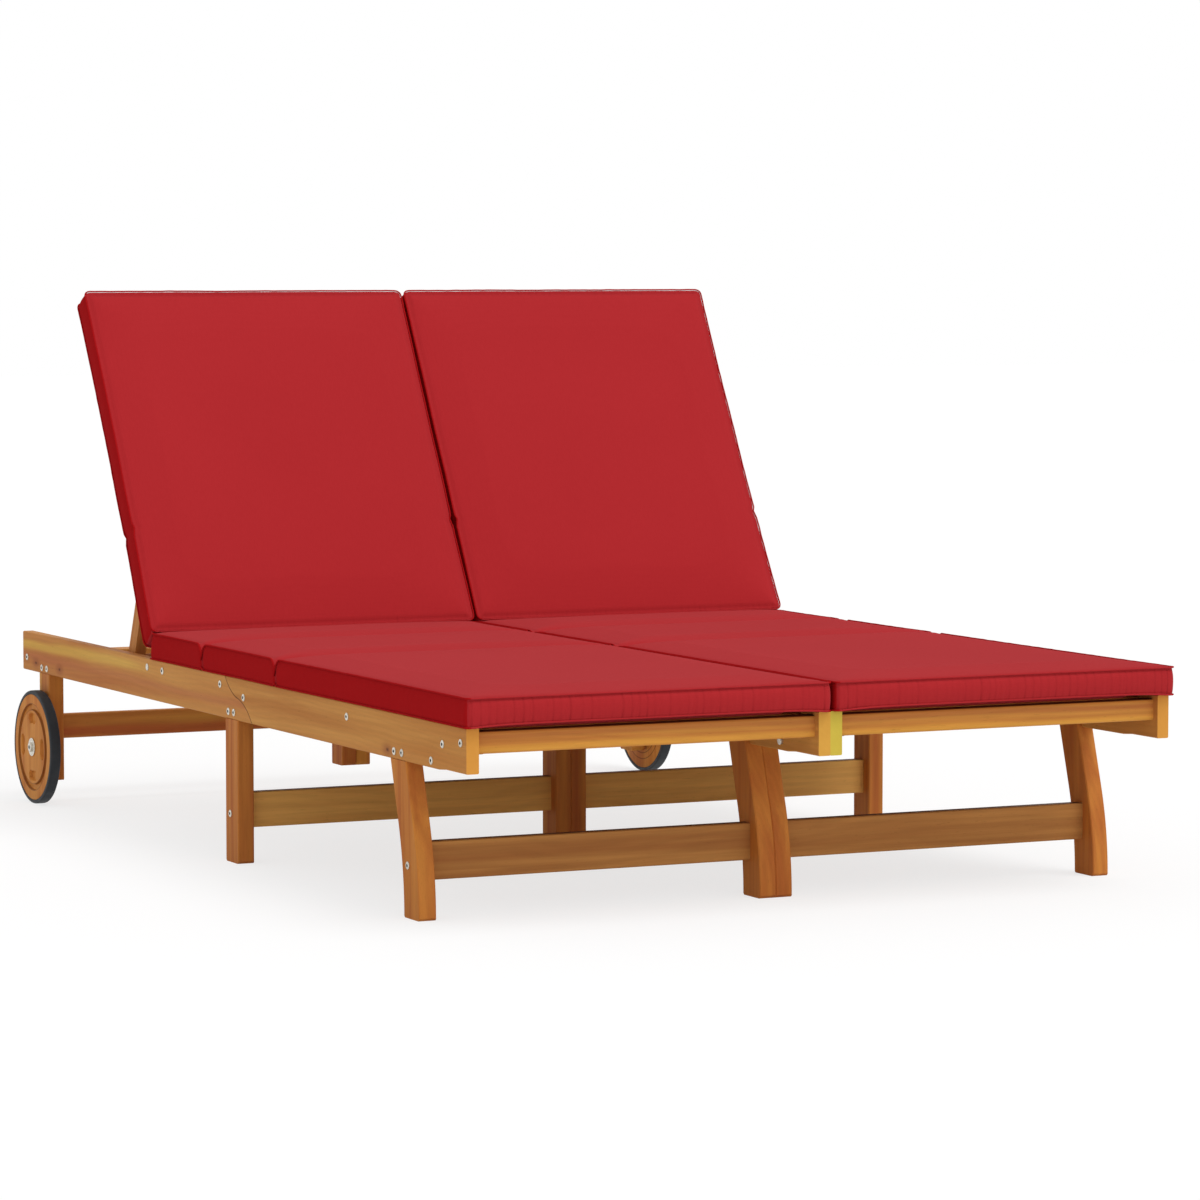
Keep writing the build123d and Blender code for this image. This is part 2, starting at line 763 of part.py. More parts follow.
def wheel_disc(side):
    """The turned wooden disc, plain inside, with a ring groove and recesses outside."""
    near, far = wheel_span()
    disc = rod(side, near, far, wheel_y, wheel_radius, disc_radius)
    disc -= rod(side, near - cut_overrun, far + cut_overrun, wheel_y, wheel_radius,
                axle_radius + hole_clearance)
    outside = far + cut_overrun
    ring = fixed_rod(side, far - groove_depth, outside, wheel_y, wheel_radius,
                     disc_radius * groove_outer_share, groove_sides)
    ring -= fixed_rod(side, far - groove_depth, outside, wheel_y, wheel_radius,
                      disc_radius * groove_inner_share, groove_sides)
    return disc - ring - recess_cutters(side, far - recess_depth, outside)


def tyre(side):
    """The rubber band round the disc."""
    near, far = wheel_span()
    ring = rod(side, near, far, wheel_y, wheel_radius, wheel_radius)
    return ring - rod(side, near - cut_overrun, far + cut_overrun, wheel_y, wheel_radius,
                      disc_radius + tyre_seat_gap)


def axle(side):
    """Bolt, outer washer, inner spacer and nut of one wheel."""
    near, far = wheel_span()
    leg_inner = lounger_width - leg_thickness
    washer_seat = far + seat_clearance
    head_seat = washer_seat + axle_washer_thickness
    bolt = headed_bolt(side, head_seat, leg_inner - axle_nut_height, wheel_y, wheel_radius,
                       axle_radius, axle_head_radius, axle_head_height)
    hole = fixed_hole(side, 0, head_seat, wheel_y, wheel_radius, axle_radius)
    washer = fixed_rod(side, washer_seat, head_seat, wheel_y, wheel_radius, axle_washer_radius,
                       washer_sides)
    spacer = fixed_rod(side, lounger_width, near - seat_clearance, wheel_y, wheel_radius,
                       axle_head_radius, head_sides)
    nut_points = RegularPolygon(axle_nut_radius, 6)
    nut = across(side, leg_inner - axle_nut_height, leg_inner, Pos(wheel_y, wheel_radius) * nut_points)
    return [bolt, washer - hole, spacer - hole, nut - hole]


def cushion_section(side, y, half_width, base, border, crown):
    """Outline of a cushion at one station: flat over the rails, a belly between, a crown."""
    belly_half = (rail_inner - rail_thickness) / 2 - belly_side_gap
    belly_shift = side * (lounger_width / 2 - cushion_inner_gap - cushion_width / 2)
    top = base + border
    left = -half_width
    right = half_width
    belly_left = belly_shift - belly_half
    belly_right = belly_shift + belly_half
    middle = (base + top) / 2
    lines = Polyline(
        (left, top),
        (left - cushion_side_bulge, middle),
        (left, base),
        (belly_left - slat_drop, base),
        (belly_left, base - slat_drop),
        (belly_right, base - slat_drop),
        (belly_right + slat_drop, base),
        (right, base),
        (right + cushion_side_bulge, middle),
        (right, top),
    )
    roof = ThreePointArc((right, top), (0, top + crown), (left, top))
    outline = make_face(Curve() + [lines, roof])
    return Plane.XZ.offset(-y) * outline


def cushion_stations(start, end, channels):
    """Place, width loss, height loss and crown share of each section along a cushion."""
    rounded = cushion_end_round / 2
    stations = [(start, rounded, rounded, crown_end_share)]
    edges = [start + cushion_end_round]
    for channel in channels:
        edges += [channel - channel_half_width, channel + channel_half_width]
    edges.append(end - cushion_end_round)
    for index in range(0, len(edges), 2):
        low, high = edges[index], edges[index + 1]
        quarter = (high - low) / 4
        quarter_draw_in = cushion_draw_in * draw_in_quarter_share
        stations.append((low, 0, 0, crown_seam_share))
        stations.append((low + quarter, quarter_draw_in, 0, crown_quarter_share))
        stations.append((low + 2 * quarter, cushion_draw_in, 0, 1))
        stations.append((high - quarter, quarter_draw_in, 0, crown_quarter_share))
        stations.append((high, 0, 0, crown_seam_share))
        if index // 2 < len(channels):
            middle = channels[index // 2]
            stations.append((middle, cushion_draw_in, channel_depth, crown_seam_share))
    stations.append((end, rounded, rounded, crown_end_share))
    return stations


def cushion(side, start, end, base, channels):
    """A padded cushion along Y, with its crown, drawn-in sides and sewn channels."""
    half = cushion_width / 2 - cushion_side_bulge
    sections = []
    for y, narrower, lower, crown_share in cushion_stations(start, end, channels):
        sections.append(cushion_section(side, y, half - narrower, base, cushion_border - lower,
                                        cushion_crown * crown_share))
    body = loft(sections, ruled=True)
    middle = cushion_inner_gap + cushion_width / 2
    return Pos(side * middle, 0, 0) * body


def seat_cushion(side):
    base = rail_top + seat_clearance
    return cushion(side, -cushion_toe_overhang, seat_cushion_end_y, base, seat_channels_y)


def back_cushion(side):
    base = rail_top - hinge_z + seat_clearance
    end = back_cushion_start + back_cushion_length
    return reclined(cushion(side, back_cushion_start, end, base, ()))


def save(name, shapes):
    """Move a node to the object's own origin and write it."""
    group = shapes if isinstance(shapes, list) else [shapes]
    node = Compound(children=[Pos(0, -overall_middle_y, 0) * shape for shape in group])
    export_step(node, "parts/" + name + ".step")


def main():
    os.makedirs("parts", exist_ok=True)
    for name, side in sides.items():
        for place in ("outer", "inner"):
            for half in ("front", "rear"):
                save(place + "_rail_" + half + "_" + name, rail(side, place, half))
            for pair in leg_faces:
                save(pair + "_leg_" + place + "_" + name, leg(side, place, pair))
        save("front_stretcher_" + name,
             stretcher(side, front_stretcher_y, stretcher_lift, stretcher_height))
        save("middle_stretcher_" + name,
             stretcher(side, middle_stretcher_y, stretcher_lift, stretcher_height))
        save("rear_stretcher_" + name,
             stretcher(side, rear_stretcher_y, rear_stretcher_lift, rear_stretcher_height))
        save("front_bar_" + name, front_bar(side))
        save("head_bar_" + name, head_bar(side))
        save("seat_slats_" + name, seat_slats(side))
        save("backrest_stiles_" + name, stiles(side))
        save("backrest_slats_" + name, back_slats(side))
        save("prop_legs_" + name, prop_legs(side))
        save("prop_tie_" + name, prop_tie(side))
        save("prop_bolts_" + name, prop_bolts(side))
        save("hinge_bolts_" + name, hinge_bolts(side))
        save("wheel_disc_" + name, wheel_disc(side))
        save("wheel_tyre_" + name, tyre(side))
        save("seat_cushion_" + name, seat_cushion(side))
        save("back_cushion_" + name, back_cushion(side))
    both = list(sides.values())
    save("seat_tie_bars", [bar for side in both for bar in tie_bars(side)])
    save("seat_battens", [batten for side in both for batten in battens(side)])
    save("notched_racks", [rack for side in both for rack in racks(side)])
    save("hinge_cheeks", [cheek for side in both for cheek in hinge_cheeks(side)])
    save("axle_bolts", [piece for side in both for piece in axle(side)])
    save("rail_screws", outer_screws(rail_screw_places(), screw_length)
         + outer_screws(short_screw_places(), short_screw_length)
         + outer_screws(stretcher_screw_places(), screw_length))
    save("leg_bolts", outer_screws(leg_bolt_places(), leg_bolt_length))
    save("joining_bolts", joining_bolts())


main()
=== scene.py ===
"""Looks of the double chaise lounger: oiled wood, zinc fasteners, rubber tyres and red canvas cushions.

Every length is in metres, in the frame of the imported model: X across, Y towards the head end, Z up.
"""

from __future__ import annotations

import json
import logging
import math
from dataclasses import dataclass, field
from enum import Enum

import bmesh
import bpy
from mathutils import Matrix, Vector, noise


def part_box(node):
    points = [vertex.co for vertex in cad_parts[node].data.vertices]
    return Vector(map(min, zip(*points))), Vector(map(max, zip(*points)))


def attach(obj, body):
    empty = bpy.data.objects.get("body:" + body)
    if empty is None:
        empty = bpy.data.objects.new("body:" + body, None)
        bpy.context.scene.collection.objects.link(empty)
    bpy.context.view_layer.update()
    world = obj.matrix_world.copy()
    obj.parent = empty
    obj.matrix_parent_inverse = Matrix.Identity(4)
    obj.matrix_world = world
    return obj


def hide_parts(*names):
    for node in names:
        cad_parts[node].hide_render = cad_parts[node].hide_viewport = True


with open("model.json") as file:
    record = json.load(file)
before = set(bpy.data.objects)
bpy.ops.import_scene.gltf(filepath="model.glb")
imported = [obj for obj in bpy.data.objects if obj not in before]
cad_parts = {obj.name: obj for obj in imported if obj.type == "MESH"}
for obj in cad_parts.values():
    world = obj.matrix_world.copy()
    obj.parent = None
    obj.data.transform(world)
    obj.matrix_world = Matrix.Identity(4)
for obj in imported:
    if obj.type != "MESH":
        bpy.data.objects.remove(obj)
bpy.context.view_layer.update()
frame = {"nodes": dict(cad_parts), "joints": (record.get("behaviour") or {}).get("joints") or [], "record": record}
LOG = logging.getLogger("chaise")
SIDES = ("left", "right")
RECLINE = math.radians(60.4)
CLOTH_FRAMES = 20
MERGE_REACH = 0.00001
PLACE_DIGITS = 6
STEP_SLACK = 0.2

Colour = tuple[float, float, float]
Triple = tuple[float, float, float]


def linear(colour: Colour) -> tuple[float, float, float, float]:
    """Turn a colour as seen on a screen, 0 to 255, into shader values.

    Args:
        colour: red, green and blue as they show.

    Returns:
        Linear red, green, blue and full alpha.
    """
    parts = []
    for value in colour:
        share = value / 255
        parts.append(share / 12.92 if share <= 0.04045 else ((share + 0.055) / 1.055) ** 2.4)
    return (parts[0], parts[1], parts[2], 1.0)


class Grain(Enum):
    """The way the fibres of a board run."""

    ACROSS = (1, 0, 0)
    ALONG = (0, 1, 0)
    UPRIGHT = (0, 0, 1)


class NodeBench:
    """A node tree and short ways to add to it."""

    def __init__(self, owner: bpy.types.Material | bpy.types.World) -> None:
        """Empty the node tree of a material or world.

        Args:
            owner: the material or world.
        """
        owner.use_nodes = True
        self.tree = owner.node_tree
        self.tree.nodes.clear()

    def add(self, kind: str, **settings: object) -> bpy.types.Node:
        """Add a node.

        Args:
            kind: the node's type.
            settings: attributes to set on it.

        Returns:
            The new node.
        """
        node = self.tree.nodes.new(kind)
        for key, value in settings.items():
            setattr(node, key, value)
        return node

    def join(self, source: bpy.types.NodeSocket, target: bpy.types.NodeSocket) -> None:
        """Link two sockets."""
        self.tree.links.new(source, target)

    def feed(self, socket: bpy.types.NodeSocket, value: object) -> None:
        """Give an input either a link or a constant.

        Args:
            socket: the input.
            value: the link's source, or the constant.
        """
        if isinstance(value, bpy.types.NodeSocket):
            self.join(value, socket)
        else:
            socket.default_value = value

    def math(self, operation: str, first: object, second: object = 0.0) -> bpy.types.NodeSocket:
        """Work out one number from two.

        Args:
            operation: the Math node's operation.
            first: its first value.
            second: its second value.

        Returns:
            The result's socket.
        """
        node = self.add("ShaderNodeMath", operation=operation)
        self.feed(node.inputs[0], first)
        self.feed(node.inputs[1], second)
        return node.outputs[0]

    def vector(self, operation: str, first: object, second: object = (0.0, 0.0, 0.0)) -> bpy.types.Node:
        """Work on vectors.

        Args:
            operation: the Vector Math node's operation.
            first: its first vector.
            second: its second vector.

        Returns:
            The node, whose outputs are a vector and a value.
        """
        node = self.add("ShaderNodeVectorMath", operation=operation)
        self.feed(node.inputs[0], first)
        self.feed(node.inputs[1], second)
        return node

    def spread(self, value: object, low: float, high: float, to_low: float, to_high: float) -> bpy.types.NodeSocket:
        """Map a number from one range to another, smoothly and clamped.

        Args:
            value: the number.
            low: start of its range.
            high: end of its range.
            to_low: result at the start.
            to_high: result at the end.

        Returns:
            The result's socket.
        """
        node = self.add("ShaderNodeMapRange", interpolation_type="SMOOTHSTEP")
        self.feed(node.inputs["Value"], value)
        node.inputs["From Min"].default_value = low
        node.inputs["From Max"].default_value = high
        node.inputs["To Min"].default_value = to_low
        node.inputs["To Max"].default_value = to_high
        return node.outputs["Result"]

    def blend(self, share: object, first: object, second: object, way: str = "MIX") -> bpy.types.NodeSocket:
        """Mix two colours.

        Args:
            share: how much of the second.
            first: the first colour.
            second: the second colour.
            way: the blend mode.

        Returns:
            The mixed colour's socket.
        """
        node = self.add("ShaderNodeMix", data_type="RGBA", blend_type=way)
        self.feed(node.inputs[0], share)
        self.feed(node.inputs[6], first)
        self.feed(node.inputs[7], second)
        return node.outputs[2]


class ShaderBench(NodeBench):
    """A material with one surface shader, and the looks that its nodes give."""

    def __init__(self, name: str) -> None:
        """Make a material with a plain surface.

        Args:
            name: the material's name.
        """
        self.material = bpy.data.materials.new(name)
        super().__init__(self.material)
        output = self.add("ShaderNodeOutputMaterial")
        self.surface = self.add("ShaderNodeBsdfPrincipled")
        self.join(self.surface.outputs[0], output.inputs[0])

    def cloud(self, place: object, scale: float, detail: float = 2.0, warp: float = 0.0) -> bpy.types.NodeSocket:
        """Soft noise.

        Args:
            place: where it is read.
            scale: features per unit.
            detail: layers of finer noise.
            warp: how far it is distorted.

        Returns:
            The noise value's socket.
        """
        node = self.add("ShaderNodeTexNoise")
        self.feed(node.inputs["Vector"], place)
        node.inputs["Scale"].default_value = scale
        node.inputs["Detail"].default_value = detail
        node.inputs["Distortion"].default_value = warp
        return node.outputs[0]

    def places(self) -> bpy.types.NodeSocket:
        """The surface's own place, which moves with the piece."""
        return self.add("ShaderNodeTexCoord").outputs["Object"]

    def turned_places(self, tilt: float, shift: Triple = (0.0, 0.0, 0.0)) -> bpy.types.NodeSocket:
        """The surface's own place, laid level and shifted.

        Args:
            tilt: how far the piece leans back at rest.
            shift: a shift that gives the piece its own part of a noise.

        Returns:
            The place's socket.
        """
        turn = self.add("ShaderNodeMapping")
        turn.inputs["Rotation"].default_value = (-tilt, 0.0, 0.0)
        turn.inputs["Location"].default_value = shift
        self.join(self.places(), turn.inputs["Vector"])
        return turn.outputs[0]

    def split(self, place: bpy.types.NodeSocket) -> bpy.types.NodeOutputs:
        """Split a vector.

        Args:
            place: the vector.

        Returns:
            The outputs X, Y and Z.
        """
        parts = self.add("ShaderNodeSeparateXYZ")
        self.join(place, parts.inputs[0])
        return parts.outputs

    def length(self, place: bpy.types.NodeSocket) -> bpy.types.NodeSocket:
        """Measure a vector."""
        return self.vector("LENGTH", place).outputs["Value"]

    def facing(self, way: Triple) -> bpy.types.NodeSocket:
        """How squarely the surface faces a direction, 1 where it does and -1 where it faces away."""
        normal = self.add("ShaderNodeTexCoord").outputs["Normal"]
        return self.vector("DOT_PRODUCT", normal, way).outputs["Value"]

    def raise_surface(self, height: object, strength: float, distance: float) -> None:
        """Add relief to the surface.

        Args:
            height: the relief's height, 0 to 1.
            strength: share of it that shows.
            distance: real height of 1.
        """
        bump = self.add("ShaderNodeBump")
        bump.inputs["Strength"].default_value = strength
        bump.inputs["Distance"].default_value = distance
        self.feed(bump.inputs["Height"], height)
        self.join(bump.outputs[0], self.surface.inputs["Normal"])


def dress(piece: bpy.types.Object, material: bpy.types.Material) -> None:
    """Give a piece one material on all its faces.

    Args:
        piece: the piece.
        material: its material.
    """
    piece.data.materials.clear()
    piece.data.materials.append(material)
    for polygon in piece.data.polygons:
        polygon.material_index = 0


def body_of(node: str) -> str:
    """Name the body that carries a CAD node."""
    bodies = frame["record"]["behaviour"]["bodies"]
    return next(body for body, nodes in bodies.items() if node in nodes)


def crease(piece: bpy.types.Object, degrees: float) -> None:
    """Keep the edges of a smooth piece sharp where its faces turn by more than an angle.

    Args:
        piece: the piece.
        degrees: the angle.
    """
    work = bmesh.new()
    work.from_mesh(piece.data)
    for edge in work.edges:
        edge.smooth = len(edge.link_faces) == 2 and edge.calc_face_angle(0.0) < math.radians(degrees)
    work.to_mesh(piece.data)
    work.free()


@dataclass(frozen=True)
class Streak:
    """A streak of another colour that runs with the grain: sapwood or heartwood on the rails, a darker lower band on
    the rear stretcher, painted shade and painted light on the front bar.

    It lies where one coordinate, 0, 1 or 2 for X, Y or Z, is near a value. Where it has a fade, it
    comes in between those two places along Y.
    """

    colour: Colour
    axis: int
    centre: float
    half_width: float
    share: float = 0.8
    fade: tuple[float, float] | None = None


@dataclass(frozen=True)
class DarkArc:
    """A fine dark line of painted shade along an arc, seen from the side, as in the gap where two boards meet and at
    the walls of a groove.

    It lies on a circle in the YZ plane, on the side of a bound along Y that behind names: beyond it
    towards the head end, or short of it.
    """

    centre: tuple[float, float]
    radius: float
    bound: float = -10.0
    behind: bool = True
    half_width: float = 0.0015
    share: float = 0.8


JOINT_SHADOW = (92, 48, 24)
# The two arcs of the S-shaped joint in the outer rails.
JOINT_ARCS = (DarkArc((-0.09655, 0.36855), 0.10014, -0.0715),
              DarkArc((-0.05721, 0.16623), 0.10654, -0.0695, behind=False))


@dataclass(frozen=True)
class WoodFinish:
    """Oiled hardwood, with soft bands along the grain, faint growth rings, pores and fibres, and painted shade on its
    upward faces where top is given.

    A span is the stretch of a noise or a distance over which a change comes in.
    """

    name: str
    grain: Grain
    pale: Colour
    dark: Colour
    streak: Colour
    seed: float = 0.0
    tilt: float = 0.0
    band_width: float = 0.026
    band_length: float = 0.55
    streak_share: float = 0.6
    ring_pitch: float = 0.0085
    ring_share: float = 0.045
    roughness: float = 0.55
    end: Colour | None = None
    streaks: tuple[Streak, ...] = ()
    knots: tuple[Triple, ...] = ()
    arcs: tuple[DarkArc, ...] = ()
    # top: colour of the painted shade laid on the upward faces, which lie in shade under the cushions
    top: Colour | None = None
    fibre_size: tuple[float, float] = (0.0011, 0.035)
    pore_size: tuple[float, float] = (0.0016, 0.014)
    wander_size: tuple[float, float] = (0.09, 0.45)
    streak_wander_size: tuple[float, float] = (0.06, 0.4)
    knot_halo: Colour = (140, 70, 42)
    knot_heart: Colour = (84, 42, 24)
    knot_ragged: float = 0.003
    knot_scale: float = 260.0
    heart_place: Triple = (0.11, 0.13, 0.19)
    heart_shift: Triple = (0.017, -0.011, 0.013)
    seed_shift: Triple = (0.37, 0.53, 0.29)
    ring_wander: float = 0.06
    gloss: float = 0.1
    relief: float = 0.0004
    relief_strength: float = 0.35
    fibre_relief: float = 0.6
    pore_relief: float = 0.8
    band_warp: float = 0.35
    band_span: tuple[float, float] = (0.28, 0.72)
    zone_growth: tuple[float, float] = (2.3, 1.5)
    zone_span: tuple[float, float] = (0.5, 0.68)
    streak_wander: float = 2.6
    streak_edges: tuple[float, float] = (0.2, 1.4)
    arc_core: float = 0.25
    knot_squash: float = 0.5
    knot_halo_span: tuple[float, float] = (0.003, 0.017)
    knot_halo_share: float = 0.55
    knot_heart_span: tuple[float, float] = (0.0018, 0.0055)
    knot_heart_share: float = 0.85
    end_span: tuple[float, float] = (0.7, 0.9)
    end_share: float = 0.8
    top_shade_span: tuple[float, float] = (0.62, 0.84)
    top_share: float = 0.9
    fibre_span: tuple[float, float] = (0.25, 0.75)
    fibre_tones: tuple[float, float] = (0.96, 1.03)
    pore_span: tuple[float, float] = (0.68, 0.76)
    pore_tones: tuple[float, float] = (1.0, 0.84)
    rough_span: tuple[float, float] = (0.3, 0.7)
    rough_rise: float = 0.08

    def _stretched(self, bench: ShaderBench, place: object, across: float, along: float) -> bpy.types.NodeSocket:
        """Scale a place so that features come out long along the grain.

        Args:
            bench: the material's bench.
            place: the board's own place.
            across: size of a feature across the grain.
            along: size of a feature along it.

        Returns:
            The scaled place.
        """
        scale = [1 / along if way else 1 / across for way in self.grain.value]
        return bench.vector("MULTIPLY", place, scale).outputs[0]

    def _rings(self, bench: ShaderBench, place: object) -> bpy.types.NodeSocket:
        """Growth rings round a heart that lies outside the board.

        Args:
            bench: the material's bench.
            place: the board's own place.

        Returns:
            The rings' tone, 0 to 1.
        """
        wander = bench.cloud(self._stretched(bench, place, *self.wander_size), 1.0, 2.0)
        off_grain = [0.0 if way else 1.0 for way in self.grain.value]
        heart = [base + shift * self.seed for base, shift in zip(self.heart_place, self.heart_shift)]
        flat = bench.vector("MULTIPLY", bench.vector("ADD", place, heart).outputs[0], off_grain)
        turned = bench.math("ADD", bench.length(flat.outputs[0]), bench.math("MULTIPLY", wander, self.ring_wander))
        wave = bench.math("SINE", bench.math("MULTIPLY", turned, 2 * math.pi / self.ring_pitch))
        return bench.spread(wave, -1.0, 1.0, 0.0, 1.0)

    def _streaked(self, bench: ShaderBench, colour: object, streak: Streak) -> bpy.types.NodeSocket:
        """Lay one streak over the wood's colour.

        Args:
            bench: the material's bench.
            colour: the colour so far.
            streak: the streak.

        Returns:
            The new colour.
        """
        place = bench.places()
        parts = bench.split(place)
        wander = bench.cloud(self._stretched(bench, place, *self.streak_wander_size), 1.0, 2.0)
        shift = bench.math("MULTIPLY", bench.math("SUBTRACT", wander, 0.5), self.streak_wander * streak.half_width)
        away = bench.math("SUBTRACT", bench.math("ADD", parts[streak.axis], shift), streak.centre)
        away = bench.math("ABSOLUTE", away)
        core, reach = (share * streak.half_width for share in self.streak_edges)
        share = bench.spread(away, core, reach, streak.share, 0.0)
        if streak.fade:
            share = bench.math("MULTIPLY", share, bench.spread(parts["Y"], *streak.fade, 0.0, 1.0))
        return bench.blend(share, colour, linear(streak.colour))

    def _lined(self, bench: ShaderBench, colour: object, arc: DarkArc) -> bpy.types.NodeSocket:
        """Paint a line of shade on the wood along one arc.

        Args:
            bench: the material's bench.
            colour: the colour so far.
            arc: the arc.

        Returns:
            The new colour.
        """
        place = bench.places()
        flat = bench.vector("MULTIPLY", place, (0.0, 1.0, 1.0)).outputs[0]
        away = bench.vector("SUBTRACT", flat, (0.0, *arc.centre)).outputs[0]
        off = bench.math("ABSOLUTE", bench.math("SUBTRACT", bench.length(away), arc.radius))
        share = bench.spread(off, self.arc_core * arc.half_width, arc.half_width, arc.share, 0.0)
        inside = bench.math("GREATER_THAN" if arc.behind else "LESS_THAN", bench.split(place)["Y"], arc.bound)
        return bench.blend(bench.math("MULTIPLY", share, inside), colour, linear(JOINT_SHADOW))

    def _knotted(self, bench: ShaderBench, colour: object, knot: Triple) -> bpy.types.NodeSocket:
        """Set one small knot into the wood's colour.

        Args:
            bench: the material's bench.
            colour: the colour so far.
            knot: where it lies.

        Returns:
            The new colour.
        """
        place = bench.places()
        away = bench.vector("SUBTRACT", place, knot).outputs[0]
        squash = [self.knot_squash if way else 1.0 for way in self.grain.value]
        away = bench.vector("MULTIPLY", away, squash).outputs[0]
        rough = bench.math("MULTIPLY", bench.cloud(place, self.knot_scale, 2.0), self.knot_ragged)
        distance = bench.math("ADD", bench.length(away), rough)
        halo = bench.spread(distance, *self.knot_halo_span, self.knot_halo_share, 0.0)
        colour = bench.blend(halo, colour, linear(self.knot_halo))
        heart = bench.spread(distance, *self.knot_heart_span, self.knot_heart_share, 0.0)
        return bench.blend(heart, colour, linear(self.knot_heart))

    def material(self) -> bpy.types.Material:
        """Build the material.

        Returns:
            The finished wood.
        """
        bench = ShaderBench(self.name)
        place = bench.turned_places(self.tilt, tuple(shift * self.seed for shift in self.seed_shift))
        bands = bench.cloud(self._stretched(bench, place, self.band_width, self.band_length), 1.0, 3.0,
                            self.band_warp)
        colour = bench.blend(bench.spread(bands, *self.band_span, 0.0, 1.0), linear(self.dark), linear(self.pale))
        zone_width, zone_length = self.band_width * self.zone_growth[0], self.band_length * self.zone_growth[1]
        zones = bench.cloud(self._stretched(bench, place, zone_width, zone_length), 1.0, 1.0)
        colour = bench.blend(bench.spread(zones, *self.zone_span, 0.0, self.streak_share), colour, linear(self.streak))
        for streak in self.streaks:
            colour = self._streaked(bench, colour, streak)
        for knot in self.knots:
            colour = self._knotted(bench, colour, knot)
        for arc in self.arcs:
            colour = self._lined(bench, colour, arc)
        plain = 1.0
        if self.end:
            along = bench.facing(self.grain.value)
            share = bench.spread(bench.math("ABSOLUTE", along), *self.end_span, 0.0, self.end_share)
            colour = bench.blend(share, colour, linear(self.end))
            plain = bench.math("SUBTRACT", 1.0, share)
        # Painted shade: upward faces are darkened towards the top colour.
        if self.top:
            upward = bench.facing(Grain.UPRIGHT.value)
            colour = bench.blend(bench.spread(upward, *self.top_shade_span, 0.0, self.top_share), colour, linear(self.top))
        rings = self._rings(bench, place)
        ring_tone = bench.spread(rings, 0.0, 1.0, 1.0 - self.ring_share, 1.0)
        fibre = bench.cloud(self._stretched(bench, place, *self.fibre_size), 1.0, 3.0)
        fibre_tone = bench.spread(fibre, *self.fibre_span, *self.fibre_tones)
        pores = bench.cloud(self._stretched(bench, place, *self.pore_size), 1.0, 1.0)
        pore_tone = bench.spread(pores, *self.pore_span, *self.pore_tones)
        tone = bench.math("MULTIPLY", bench.math("MULTIPLY", ring_tone, fibre_tone), pore_tone)
        colour = bench.blend(plain, colour, self._grey(bench, tone), "MULTIPLY")
        bench.join(colour, bench.surface.inputs["Base Color"])
        rough = bench.spread(bands, *self.rough_span, self.roughness + self.rough_rise, self.roughness)
        bench.join(rough, bench.surface.inputs["Roughness"])
        bench.surface.inputs["Specular IOR Level"].default_value = self.gloss
        relief = bench.math("ADD", bench.math("MULTIPLY", fibre, self.fibre_relief),
                            bench.math("MULTIPLY", pore_tone, self.pore_relief))
        bench.raise_surface(bench.math("MULTIPLY", relief, plain), self.relief_strength, self.relief)
        return bench.material

    @staticmethod
    def _grey(bench: ShaderBench, tone: object) -> bpy.types.NodeSocket:
        """Turn a tone into a grey that a colour is multiplied by.

        Args:
            bench: the material's bench.
            tone: the tone.

        Returns:
            The grey.
        """
        node = bench.add("ShaderNodeCombineColor")
        for socket in node.inputs:
            bench.feed(socket, tone)
        return node.outputs[0]


